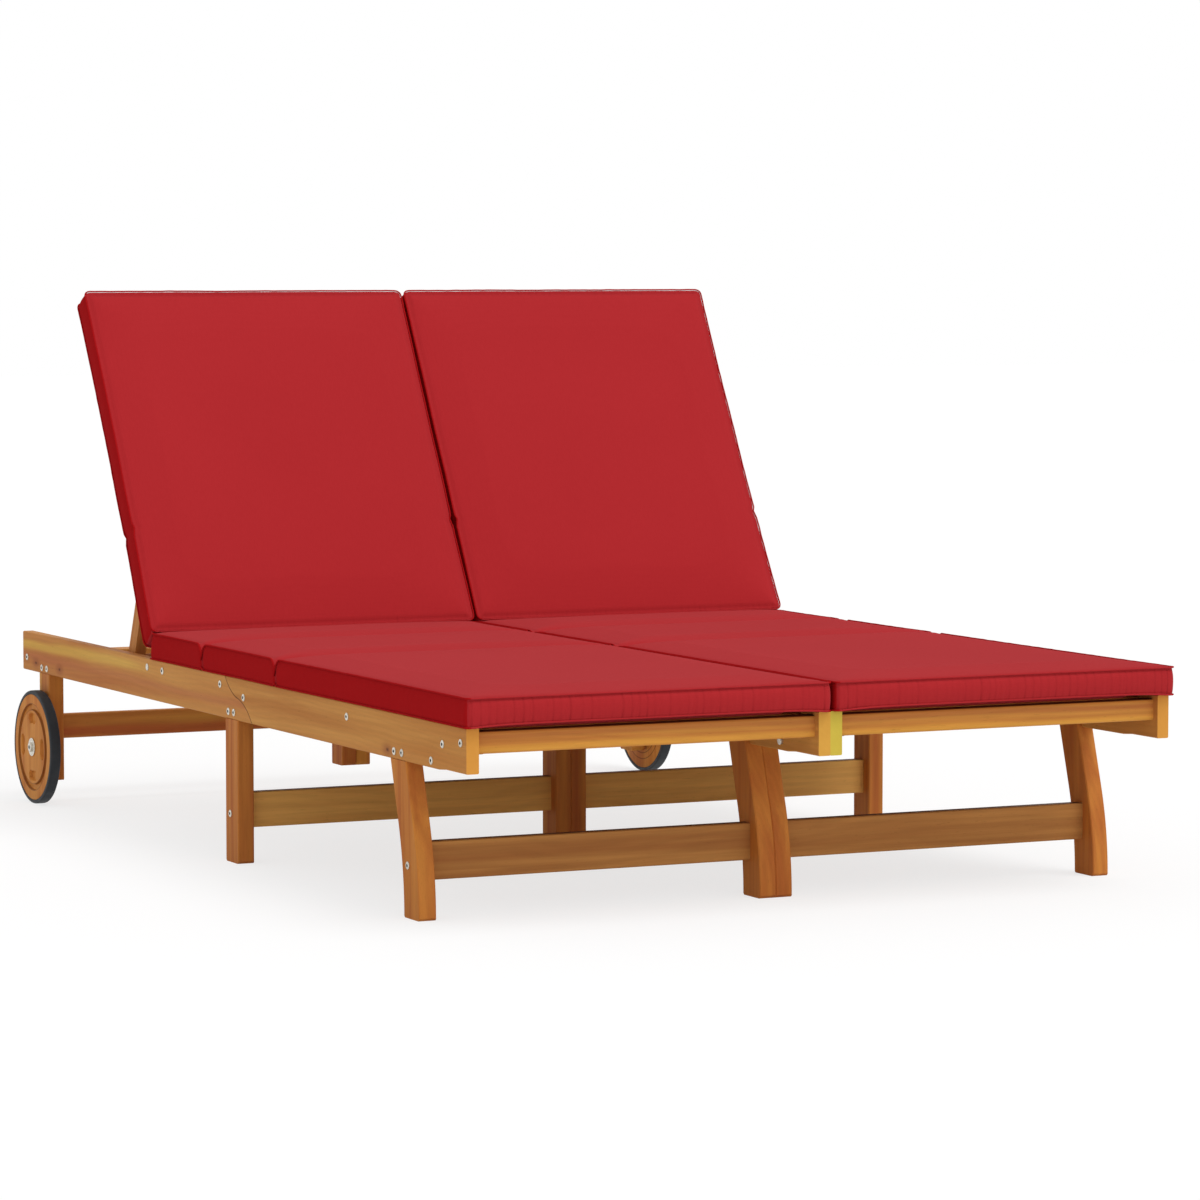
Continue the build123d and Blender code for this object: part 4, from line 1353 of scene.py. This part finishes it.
@dataclass
class CushionSet:
    """The two seat cushions and the two back cushions."""

    back_start: float = 0.0365
    back_length: float = 0.6635
    back_rise: float = 0.0153
    back_crown: float = 0.0035
    back_corner: float = 0.010
    back_tuck: float = 0.198
    foot_run: float = 0.009
    seat_foot_lift: float = 0.0036
    channel_runs: tuple[float, ...] = (0.566, 0.241)
    # A darker, deeper red copy of the canvas without sheen for the long border strips: painted shade on those sides.
    shaded_side_colour: Colour = (165, 21, 24)
    side_shade: Colour = (156, 18, 21)
    side_gloss: float = 0.02

    def _seat(self, side: str) -> Cushion:
        """Size and place the seat cushion of one lounger.

        Args:
            side: left or right.

        Returns:
            The cushion, not yet drawn.
        """
        low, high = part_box("seat_cushion_" + side)
        length = high.y - low.y
        cushion = Cushion(name="seat_pad_" + side, node="seat_cushion_" + side, body="frame", length=length,
                          place=Matrix(), channels=tuple(length - run for run in self.channel_runs),
                          foot_runs=(0.0, self.foot_run), foot_lift=self.seat_foot_lift,
                          inner_way=1.0 if side == "left" else -1.0, seed=1.0 if side == "left" else 4.0)
        base = low.z + cushion.belly_depth
        cushion.place = Matrix.Translation(((low.x + high.x) / 2, low.y, base))
        return cushion

    def _back(self, side: str) -> Cushion:
        """Size the back cushion of one lounger, and place it turned up about its hinge.

        Args:
            side: left or right.

        Returns:
            The cushion, not yet drawn.
        """
        hinge = next(joint for joint in frame["joints"] if joint["name"] == "backrest_tilt_" + side)
        low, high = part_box("back_cushion_" + side)
        anchor = Vector(hinge["pos_m"])
        turned = Matrix.Rotation(-math.radians(min(hinge["range_deg"])), 4, "X")
        shift = Matrix.Translation(((low.x + high.x) / 2 - anchor.x, self.back_start, self.back_rise))
        return Cushion(name="back_pad_" + side, node="back_cushion_" + side, body="backrest_" + side,
                       length=self.back_length, place=Matrix.Translation(anchor) @ turned @ shift,
                       crown=self.back_crown, corner_radius=self.back_corner, side_tucks=(self.back_tuck,),
                       foot_runs=(self.foot_run, 0.0), inner_way=1.0 if side == "left" else -1.0,
                       seed=8.0 if side == "left" else 12.0)

    def build(self) -> None:
        """Draw all four, blow them up together and finish them."""
        cushions = [self._seat(side) for side in SIDES] + [self._back(side) for side in SIDES]
        for cushion in cushions:
            cushion.build()
        for cushion in cushions:
            cushion.start_cloth()
        for number in range(1, CLOTH_FRAMES + 1):
            bpy.context.scene.frame_set(number)
        for cushion in cushions:
            cushion.keep_cloth()
        bpy.context.scene.frame_set(1)
        # The long sides get a darker copy of the canvas without sheen: painted shade.
        deep = dict(colour=self.shaded_side_colour, shade=self.side_shade, sheen=0.0, gloss=self.side_gloss)
        level = [CanvasFinish().material(), CanvasFinish(name="red_canvas_shaded_side", **deep).material()]
        reclined = [CanvasFinish(name="red_canvas_back", tilt=RECLINE).material(),
                    CanvasFinish(name="red_canvas_back_shaded_side", tilt=RECLINE, **deep).material()]
        for cushion in cushions:
            cushion.finish(*(level if cushion.body == "frame" else reclined))


@dataclass(frozen=True)
class Solid:
    """One closed solid of a CAD node, by its points and edges."""

    points: tuple[Vector, ...]
    edges: tuple[tuple[Vector, Vector], ...]
    bore_share: float = 0.85
    digits: int = 5

    def middle(self) -> tuple[float, float]:
        """Find its axis.

        Returns:
            Y and Z of the axis.
        """
        ys = [point.y for point in self.points]
        zs = [point.z for point in self.points]
        return (min(ys) + max(ys)) / 2, (min(zs) + max(zs)) / 2

    def stretches(self) -> list[tuple[float, float, float, float]]:
        """Its straight stretches, in order of X.

        Returns:
            Lowest X, highest X, bore radius (0 where solid) and outer radius of each.
        """
        y, z = self.middle()
        found: dict[tuple[float, float], list[float]] = {}
        for first, second in self.edges:
            low, high = sorted((round(first.x, self.digits), round(second.x, self.digits)))
            if high > low:
                found.setdefault((low, high), []).append(math.hypot(first.y - y, first.z - z))
        rows = []
        for (low, high), radii in sorted(found.items()):
            bore = min(radii) if min(radii) < self.bore_share * max(radii) else 0.0
            rows.append((low, high, bore, max(radii)))
        return rows


def solids_of(node: str) -> list[Solid]:
    """Take a CAD node apart into its solids.

    Args:
        node: the node's name.

    Returns:
        Its solids, from left to right.
    """
    work = bmesh.new()
    work.from_mesh(frame["nodes"][node].data)
    bmesh.ops.remove_doubles(work, verts=work.verts, dist=MERGE_REACH)
    seen: set[bmesh.types.BMVert] = set()
    found = []
    for vertex in work.verts:
        if vertex in seen:
            continue
        seen.add(vertex)
        island = [vertex]
        for member in island:
            for edge in member.link_edges:
                other = edge.other_vert(member)
                if other not in seen:
                    seen.add(other)
                    island.append(other)
        edges = {edge for member in island for edge in member.link_edges}
        found.append(Solid(tuple(member.co.copy() for member in island),
                           tuple((edge.verts[0].co.copy(), edge.verts[1].co.copy()) for edge in edges)))
    work.free()
    return sorted(found, key=lambda solid: (min(point.x for point in solid.points), solid.middle()))


@dataclass
class Turning:
    """Round bolts, screws, washers and dowels on the axes of a node's plain ones."""

    steps: int = 36
    flats: int = 6
    ease: float = 0.0005
    head_ease_share: float = 1.6
    dome: float = 2.4
    dome_rise: float = 0.3
    crease_angle: float = 40
    socket_share: float = 0.46
    socket_depth: float = 0.0013
    socket_taper: float = 0.96
    corner_share: float = 0.95
    head_growth: float = 1.05
    head_ease_limit: float = 0.4
    shank_ease_limit: float = 0.2
    draft: MeshDraft = field(default_factory=MeshDraft)
    socket_shade_faces: set[int] = field(default_factory=set)

    def _ring(self, x: float, radius: float, middle: tuple[float, float], flats: int = 0) -> list[int]:
        """Add a ring round an axis.

        Args:
            x: its place along the axis.
            radius: its radius, to the corners where it has flats.
            middle: Y and Z of the axis.
            flats: number of flats, 0 for a round one.

        Returns:
            The ring's points.
        """
        points = []
        for turn in turns(self.steps):
            reach = radius
            if flats:
                part = 2 * math.pi / flats
                reach *= math.cos(part / 2) / math.cos(turn % part - part / 2)
            points.append(Vector((x, middle[0] + reach * math.cos(turn), middle[1] + reach * math.sin(turn))))
        return self.draft.add_points(points)

    def _bored(self, solid: Solid) -> None:
        """Turn a washer or spacer, or a nut where the plain one has six corners.

        Args:
            solid: the plain one.
        """
        low, high, bore, radius = solid.stretches()[0]
        middle = solid.middle()
        ease = min(self.ease, (high - low) / 4)
        corners = [point for point in solid.points
                   if math.hypot(point.y - middle[0], point.z - middle[1]) > self.corner_share * radius]
        flats = self.flats if len(corners) == 2 * self.flats else 0
        profile = [(low, bore, 0), (low, radius - ease, flats), (low + ease, radius, flats),
                   (high - ease, radius, flats), (high, radius - ease, flats), (high, bore, 0)]
        rings = [self._ring(x, reach, middle, sides) for x, reach, sides in profile]
        for first, second in zip(rings, rings[1:] + rings[:1]):
            self.draft.bridge(first, second)

    def _plain(self, solid: Solid, socket: bool) -> None:
        """Turn a bolt, screw or dowel with rounded ends.

        Args:
            solid: the plain one.
            socket: whether its outer head has a hexagon socket.
        """
        middle = solid.middle()
        rows = solid.stretches()
        shank = min(row[3] for row in rows)
        rings = []
        outward = rows[0][0] + rows[-1][1] > 0
        for number, (low, high, _, radius) in enumerate(rows):
            tall = high - low
            ease = min(self.ease, tall * self.shank_ease_limit)
            if radius > shank * self.head_growth:
                ease = min(self.ease * self.head_ease_share, tall * self.head_ease_limit)
            first = number == 0
            last = number == len(rows) - 1
            if first:
                rings.append(self._ring(low, radius - self.dome * ease, middle))
                rings.append(self._ring(low + self.dome_rise * ease, radius - ease, middle))
            rings.append(self._ring(low + (ease if first else 0.0), radius, middle))
            rings.append(self._ring(high - (ease if last else 0.0), radius, middle))
            if last:
                rings.append(self._ring(high - self.dome_rise * ease, radius - ease, middle))
                rings.append(self._ring(high, radius - self.dome * ease, middle))
        if socket:
            head = rows[-1] if outward else rows[0]
            face = head[1] if outward else head[0]
            floor = face - math.copysign(self.socket_depth, face)
            deep = [self._ring(face, head[3] * self.socket_share, middle, self.flats),
                    self._ring(floor, head[3] * self.socket_share * self.socket_taper, middle, self.flats)]
            if outward:
                rings += deep
            else:
                rings = deep[::-1] + rings
        before = len(self.draft.faces)
        for first_ring, second_ring in zip(rings, rings[1:]):
            self.draft.bridge(first_ring, second_ring)
        after = len(self.draft.faces)
        self.draft.faces.append(tuple(rings[0]))
        self.draft.faces.append(tuple(rings[-1]))
        # The socket's wall and floor get the dark material: painted shade in the recess.
        if socket:
            wall = range(after - self.steps, after) if outward else range(before, before + self.steps)
            self.socket_shade_faces.update(wall)
            self.socket_shade_faces.add(after + 1 if outward else after)

    def build(self, node: str, finish: bpy.types.Material, slot: str = "steel",
              socket: bpy.types.Material | None = None) -> None:
        """Make the round pieces that stand for a node's plain ones.

        Args:
            node: the plain pieces' node.
            finish: their material.
            slot: the record's slot of that material; not used.
            socket: the dark material painted as shade in the sockets of their heads, if they have any.
        """
        solids = solids_of(node)
        for solid in solids:
            if solid.stretches()[0][2]:
                self._bored(solid)
            else:
                self._plain(solid, socket is not None)
        piece = self.draft.piece(node + "_round")
        crease(piece, self.crease_angle)
        dress(piece, finish)
        if socket:
            piece.data.materials.append(socket)
            for number in self.socket_shade_faces:
                piece.data.polygons[number].material_index = 1
        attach(piece, body_of(node))
        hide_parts(node)
        LOG.info("%s made round, %d solids", node, len(solids))


@dataclass
class WoodWork:
    """Every wooden board, each kind with its own tone and grain."""

    prop_lean: float = math.radians(-7.0)
    # Painted shade for the upward faces of the stretchers, and near-black painted shade for the front bar's, which lie
    # under the cushions.
    stretcher_top_shade: Colour = (100, 66, 40)
    front_bar_top_shade: Colour = (44, 28, 20)

    @staticmethod
    def _dress_all(names: list[str], finish: WoodFinish) -> None:
        """Give some nodes one finish.

        Args:
            names: the nodes' names.
            finish: the finish.
        """
        material = finish.material()
        for name in names:
            dress(frame["nodes"][name], material)
        LOG.info("%s on %s", finish.name, ", ".join(names))

    @staticmethod
    def _shift(side: str, step: float) -> float:
        """How far a side's seeds lie from the left side's, so that its boards get a grain of their own."""
        return 0.0 if side == "left" else step

    def rails(self) -> None:
        """Side rails: honey outside, with yellow and red streaks; the meeting rails differ."""
        honey = dict(grain=Grain.ALONG, pale=(204, 144, 70), dark=(184, 120, 58), streak=(192, 126, 60),
                     end=(214, 148, 62), arcs=JOINT_ARCS)
        self._dress_all(["outer_rail_front_left", "outer_rail_front_right"],
                        WoodFinish("rail_front_wood", seed=1.0, knots=((-0.6, -0.692, 0.246),), **honey))
        honey.update(dark=(184, 114, 60))
        self._dress_all(["outer_rail_rear_left", "outer_rail_rear_right"],
                        WoodFinish("rail_rear_wood", seed=2.3, **honey,
                                   streaks=(Streak((216, 172, 78), 2, 0.286, 0.010, 0.75, (0.30, 0.46)),
                                            Streak((182, 106, 64), 2, 0.262, 0.008, 0.5)),
                                   knots=((-0.6, 0.924, 0.2507), (-0.6, 0.7955, 0.2484))))
        self._dress_all(["inner_rail_front_left", "inner_rail_rear_left"],
                        WoodFinish("inner_rail_left_wood", Grain.ALONG, (208, 150, 74), (188, 124, 62),
                                   (206, 152, 72), seed=3.1, end=(214, 160, 66)))
        self._dress_all(["inner_rail_front_right", "inner_rail_rear_right"],
                        WoodFinish("inner_rail_right_wood", Grain.ALONG, (214, 188, 80), (198, 160, 68),
                                   (206, 160, 66), seed=4.2, end=(202, 180, 68)))

    def legs(self) -> None:
        """Legs, orange brown with paler and redder streaks down their length."""
        for side in SIDES:
            offset = self._shift(side, 1.7)
            self._dress_all([f"front_leg_{place}_{side}" for place in ("outer", "inner")],
                            WoodFinish("front_leg_wood_" + side, Grain.UPRIGHT, (204, 132, 58), (178, 100, 46),
                                       (192, 116, 52), seed=5.0 + offset))
            self._dress_all([f"{pair}_leg_{place}_{side}" for pair in ("middle", "rear")
                             for place in ("outer", "inner")],
                            WoodFinish("straight_leg_wood_" + side, Grain.UPRIGHT, (200, 128, 58), (172, 96, 48),
                                       (210, 152, 66), seed=7.4 + offset, band_width=0.018))

    def bars(self) -> None:
        """Stretchers, end bars, tie bars, battens, racks and cheeks."""
        # The stretchers get painted shade on their upward faces.
        stretcher = dict(band_width=0.014, top=self.stretcher_top_shade)
        kinds = (
            ("front_stretcher", "front_stretcher", (184, 128, 68), (162, 106, 56), (150, 92, 48), 9.0, stretcher),
            # Painted light: the middle stretcher is much paler than the other wood, to make up for the shade it lies
            # in under the seat.
            ("middle_stretcher", "middle_stretcher", (236, 182, 100), (218, 162, 88), (224, 170, 92), 9.6, stretcher),
            ("rear_stretcher", "rear_stretcher", (212, 150, 72), (188, 118, 58), (210, 154, 72), 10.2,
             # The rear stretcher is darker towards its bottom.
             dict(streaks=(Streak((178, 88, 52), 2, 0.126, 0.016, 0.8),))),
            ("front_bar", "front_bar", (208, 144, 66), (194, 122, 58), (206, 148, 66), 11.3,
             # near-black painted shade on the front bar's upward face
             dict(band_width=0.012, top=self.front_bar_top_shade,
                  # Painted shade on the upper band and painted light on the lower band, for how the bar's rounded
                  # front edges are lit.
                  streaks=(Streak((176, 104, 56), 2, 0.289, 0.005, 0.6),
                           Streak((222, 158, 66), 2, 0.270, 0.006, 0.7)))),
            ("head_bar", "head_bar", (206, 142, 70), (184, 116, 58), (212, 158, 76), 11.9, {}),
            ("seat_slats", "seat_slat", (204, 142, 74), (180, 116, 60), (210, 156, 80), 12.4, {}),
            ("backrest_slats", "back_slat", (202, 138, 72), (176, 110, 58), (208, 154, 80), 13.3,
             dict(tilt=RECLINE)))
        for side in SIDES:
            offset = self._shift(side, 2.1)
            for node, wood, pale, dark, streak, seed, more in kinds:
                self._dress_all([f"{node}_{side}"], WoodFinish(f"{wood}_wood_{side}", Grain.ACROSS, pale, dark, streak,
                                                               seed=seed + offset, **more))
        self._dress_all(["seat_tie_bars"], WoodFinish("tie_bar_wood", Grain.ACROSS, (198, 134, 70),
                                                      (172, 108, 58), (204, 148, 76), seed=14.0))
        self._dress_all(["seat_battens", "notched_racks", "hinge_cheeks"],
                        WoodFinish("batten_wood", Grain.ALONG, (196, 132, 70), (170, 106, 58), (202, 146, 74),
                                   seed=15.0))

    def moving(self) -> None:
        """Stiles, prop legs and prop ties, with the grain along each."""
        for side in SIDES:
            offset = self._shift(side, 1.3)
            self._dress_all([f"backrest_stiles_{side}"],
                            WoodFinish("stile_wood_" + side, Grain.ALONG, (204, 142, 74), (182, 118, 62),
                                       (196, 132, 70), seed=16.0 + offset, tilt=RECLINE))
            self._dress_all([f"prop_legs_{side}"],
                            WoodFinish("prop_wood_" + side, Grain.ALONG, (200, 136, 70), (176, 110, 58),
                                       (206, 150, 76), seed=17.0 + offset, tilt=-RECLINE + self.prop_lean))
            dowel = WoodFinish("prop_tie_wood_" + side, Grain.ACROSS, (196, 134, 70), (172, 108, 56),
                               (206, 152, 80), seed=18.0 + offset, end=(180, 118, 62))
            Turning(ease=0.001).build("prop_tie_" + side, dowel.material(), slot="wood")

    def build(self) -> None:
        """Dress every board."""
        self.rails()
        self.legs()
        self.bars()
        self.moving()


@dataclass
class Wheels:
    """The two turned wooden wheels with their rubber tyres."""

    tone: Colour = (214, 144, 66)
    shade: Colour = (188, 112, 52)
    streak: Colour = (206, 140, 66)
    band_length: float = 0.2
    groove_shadow: float = 0.6
    bore: float = 0.0051
    rim_ease: float = 0.0012
    groove_circle: float = 0.76
    groove_half_width: float = 0.0057
    groove_depth: float = 0.0045
    recess_circle: float = 0.55
    recess_half_width: float = 0.009
    recess_half_length: float = 0.010
    recess_depth: float = 0.006
    recess_count: int = 4
    wall: float = 0.0011
    wall_marks: tuple[float, ...] = (-0.3, 0.0, 0.3, 0.7, 1.0, 1.4)
    ring_step: float = 0.0014
    steps: int = 256
    tyre_round: float = 0.0028
    tyre_round_steps: int = 5
    tyre_steps: int = 128
    tyre_clearance: float = 0.0001
    tyre_flank: float = 0.0012
    tread_crown: float = 0.0002
    crease_angle: float = 60
    rim_corner_share: float = 0.3
    tyre_shoulder_share: float = 0.9
    seeds: tuple[float, float] = (19.0, 21.0)

    @staticmethod
    def _fall(distance: float, wall: float) -> float:
        """How far a cut has reached its depth, 0 outside it and 1 well inside.

        Args:
            distance: how far inside the cut's edge the point lies.
            wall: width of the rounded wall.

        Returns:
            The share of the depth.
        """
        share = min(max(distance / wall, 0.0), 1.0)
        return share * share * (3 - 2 * share)

    def _depth(self, reach: float, turn: float, radius: float) -> float:
        """Depth of the outer face below its rim at a point.

        Args:
            reach: the point's distance from the axle.
            turn: its direction from the axle.
            radius: the disc's radius.

        Returns:
            The depth.
        """
        groove = self.groove_half_width - abs(reach - self.groove_circle * radius)
        depth = self.groove_depth * self._fall(groove, self.wall)
        part = 2 * math.pi / self.recess_count
        off = (turn + part / 2) % part - part / 2
        course = self.recess_circle * radius
        along = max(abs(off) * course - self.recess_half_length, 0.0)
        recess = self.recess_half_width - math.hypot(reach - course, along)
        return max(depth, self.recess_depth * self._fall(recess, self.wall))

    def _spun(self, draft: MeshDraft, rings: list[list[int]], name: str) -> bpy.types.Object:
        """Close a stack of rings into one turned piece.

        Args:
            draft: the draft that holds the rings.
            rings: the rings, in order round the profile.
            name: the piece's name.

        Returns:
            The piece.
        """
        for first, second in zip(rings, rings[1:] + rings[:1]):
            draft.bridge(first, second)
        piece = draft.piece(name)
        crease(piece, self.crease_angle)
        return piece

    def _disc(self, side: str) -> bpy.types.Object:
        """Turn one wooden disc, with its ring groove and kidney recesses.

        Args:
            side: left or right.

        Returns:
            The disc.
        """
        low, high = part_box("wheel_disc_" + side)
        outer, inner = (low.x, high.x) if side == "left" else (high.x, low.x)
        into = math.copysign(1.0, inner - outer)
        radius = (high.z - low.z) / 2
        middle = middle_of(low, high)
        groove = self.groove_circle * radius
        marks = {self.bore, radius - self.rim_ease}
        for edge in (groove - self.groove_half_width, groove + self.groove_half_width):
            away = 1 if edge < groove else -1
            marks.update(edge + away * self.wall * share for share in self.wall_marks)
        reach = self.bore
        while reach < radius - self.rim_ease:
            if all(abs(reach - mark) > self.ring_step / 2 for mark in marks):
                marks.add(reach)
            reach += self.ring_step
        draft = MeshDraft()
        rings = []
        for reach in sorted(marks):
            points = circle(outer, reach, middle, self.steps)
            for point, turn in zip(points, turns(self.steps)):
                point.x = outer + into * self._depth(reach, turn, radius)
            rings.append(draft.add_points(points))
        corner = self.rim_corner_share
        edge = ((outer + into * corner * self.rim_ease, radius - corner * self.rim_ease),
                (outer + into * self.rim_ease, radius), (inner - into * self.rim_ease, radius),
                (inner, radius - self.rim_ease), (inner, self.bore))
        rings += [draft.add_points(circle(x, reach, middle, self.steps)) for x, reach in edge]
        return self._spun(draft, rings, "wheel_disc_turned_" + side)

    def _tyre(self, side: str) -> bpy.types.Object:
        """Mould one tyre, a band with rounded edges and a slightly crowned tread.

        Args:
            side: left or right.

        Returns:
            The tyre.
        """
        low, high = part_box("wheel_tyre_" + side)
        disc_low, disc_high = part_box("wheel_disc_" + side)
        inside = (disc_high.z - disc_low.z) / 2 + self.tyre_clearance
        radius = (high.z - low.z) / 2
        half = (high.x - low.x) / 2
        shoulder = []
        for number in range(self.tyre_round_steps, -1, -1):
            turn = math.pi / 2 * number / self.tyre_round_steps
            shoulder.append((-half + self.tyre_round * (1 - math.sin(turn)),
                             radius - self.tyre_round * (1 - math.cos(turn)) * self.tyre_shoulder_share
                             - self.tread_crown))
        profile = [(-half, inside), (-half, inside + self.tyre_flank), *shoulder, (0.0, radius)]
        profile += [(-x, reach) for x, reach in profile[-2::-1]]
        draft = MeshDraft()
        rings = [draft.add_points(circle((low.x + high.x) / 2 + x, reach, middle_of(low, high), self.tyre_steps))
                 for x, reach in profile]
        return self._spun(draft, rings, "wheel_tyre_moulded_" + side)

    def build(self) -> None:
        """Make the wheels."""
        rubber = RubberFinish().material()
        for side, seed in zip(SIDES, self.seeds):
            low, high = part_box("wheel_disc_" + side)
            groove = self.groove_circle * (high.z - low.z) / 2
            arcs = tuple(DarkArc(middle_of(low, high), groove + way * self.groove_half_width,
                                 share=self.groove_shadow) for way in (-1, 1))
            wood = WoodFinish("wheel_wood_" + side, Grain.UPRIGHT, self.tone, self.shade, self.streak,
                              seed=seed, band_length=self.band_length, arcs=arcs).material()
            for piece, node, finish, slot in (
                    (self._disc(side), "wheel_disc_" + side, wood, "wheel_wood"),
                    (self._tyre(side), "wheel_tyre_" + side, rubber, "tyre")):
                dress(piece, finish)
                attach(piece, "wheel_" + side)
                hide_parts(node)
            LOG.info("wheel %s turned and shod", side)


@dataclass
class Studio:
    """Pale floor, soft light and the camera."""

    camera_place: Triple = (-3.34903, -7.10481, 0.98185)
    camera_pitch: float = 0.0730716
    camera_turn: float = 0.4508297
    lens: float = 139.71
    sensor: float = 36.0
    sight: float = 200.0
    floor_size: float = 60.0
    floor_whiteness: float = 0.7
    floor_glow: float = 1.06
    floor_paint: float = 0.8
    world_level: float = 0.68
    key_strength: float = 1.45
    key_from: Triple = (0.3, -0.38, 0.9)
    key_softness: float = 40.0
    fill_strength: float = 0.5
    fill_from: Triple = (0.05, -1.0, 0.16)
    fill_softness: float = 50.0

    def _camera(self) -> None:
        """Set the camera at the photograph's viewing angle."""
        data = bpy.data.cameras.new("studio_camera")
        data.lens = self.lens
        data.sensor_width = self.sensor
        data.clip_end = self.sight
        camera = bpy.data.objects.new("studio_camera", data)
        camera.location = self.camera_place
        camera.rotation_euler = (math.pi / 2 - self.camera_pitch, 0.0, -self.camera_turn)
        bpy.context.scene.collection.objects.link(camera)
        bpy.context.scene.camera = camera

    @staticmethod
    def _seen(bench: NodeBench) -> bpy.types.NodeSocket:
        """One where a ray comes from the camera or from a glossy or clear surface.

        Args:
            bench: the bench of the material or world.

        Returns:
            The value's socket.
        """
        path = bench.add("ShaderNodeLightPath").outputs
        shiny = bench.math("MAXIMUM", path["Is Camera Ray"], path["Is Glossy Ray"])
        return bench.math("MAXIMUM", shiny, path["Is Transmission Ray"])

    def _floor(self) -> None:
        """Lay a white floor that keeps the object's shadow."""
        draft = MeshDraft()
        half = self.floor_size / 2
        corners = ((-half, -half), (half, -half), (half, half), (-half, half))
        draft.faces.append(tuple(draft.add_points([Vector((x, y, 0.0)) for x, y in corners])))
        floor = draft.piece("studio_floor", outward=False)
        material = bpy.data.materials.new("studio_floor_paint")
        bench = NodeBench(material)
        output = bench.add("ShaderNodeOutputMaterial")
        matt = bench.add("ShaderNodeBsdfDiffuse")
        matt.inputs["Color"].default_value = (self.floor_paint, self.floor_paint, self.floor_paint, 1.0)
        white = bench.add("ShaderNodeEmission")
        white.inputs["Strength"].default_value = self.floor_glow
        mixed = bench.add("ShaderNodeMixShader")
        bench.join(bench.math("MULTIPLY", self._seen(bench), self.floor_whiteness), mixed.inputs[0])
        bench.join(matt.outputs[0], mixed.inputs[1])
        bench.join(white.outputs[0], mixed.inputs[2])
        bench.join(mixed.outputs[0], output.inputs[0])
        dress(floor, material)

    def _light(self) -> None:
        """Light the object evenly, with a soft key from above and a low fill from the front."""
        world = bpy.data.worlds.new("studio_world")
        bpy.context.scene.world = world
        bench = NodeBench(world)
        output = bench.add("ShaderNodeOutputWorld")
        sky = bench.add("ShaderNodeBackground")
        level = bench.add("ShaderNodeMapRange")
        level.inputs["To Min"].default_value = self.world_level
        level.inputs["To Max"].default_value = 1.0
        bench.join(self._seen(bench), level.inputs["Value"])
        bench.join(level.outputs[0], sky.inputs["Strength"])
        sky.inputs["Color"].default_value = (1.0, 1.0, 1.0, 1.0)
        bench.join(sky.outputs[0], output.inputs[0])
        self._lamp("key_light", self.key_strength, self.key_from, self.key_softness)
        self._lamp("fill_light", self.fill_strength, self.fill_from, self.fill_softness)

    @staticmethod
    def _lamp(name: str, strength: float, source: Triple, softness: float) -> None:
        """Hang one distant soft lamp.

        Args:
            name: its name.
            strength: its light on a surface square to it.
            source: the direction that it shines from.
            softness: its width in degrees.
        """
        data = bpy.data.lights.new(name, "SUN")
        data.energy = strength
        data.angle = math.radians(softness)
        lamp = bpy.data.objects.new(name, data)
        lamp.rotation_mode = "QUATERNION"
        lamp.rotation_quaternion = Vector(source).to_track_quat("Z", "Y")
        bpy.context.scene.collection.objects.link(lamp)

    def build(self) -> None:
        """Set the studio up."""
        bpy.context.scene.view_settings.view_transform = "Standard"
        self._camera()
        self._floor()
        self._light()
        LOG.info("studio ready")


def main() -> None:
    """Build the looks in order."""
    logging.basicConfig(level=logging.INFO, format="%(message)s")
    Studio().build()
    WoodWork().build()
    Wheels().build()
    zinc = ZincFinish().material()
    # A dark, half-metallic zinc for the socket walls and floors: painted shade in the recesses.
    socket = ZincFinish(name="zinc_socket_shade", colour=(64, 60, 54), wear_and_shade=(40, 38, 36), metallic=0.4).material()
    for node in ("rail_screws", "leg_bolts", "axle_bolts"):
        Turning().build(node, zinc, socket=socket)
    for node in [f"{kind}_{side}" for kind in ("hinge_bolts", "prop_bolts") for side in SIDES] + ["joining_bolts"]:
        Turning().build(node, zinc)
    CushionSet().build()


if __name__ == "__main__":
    main()
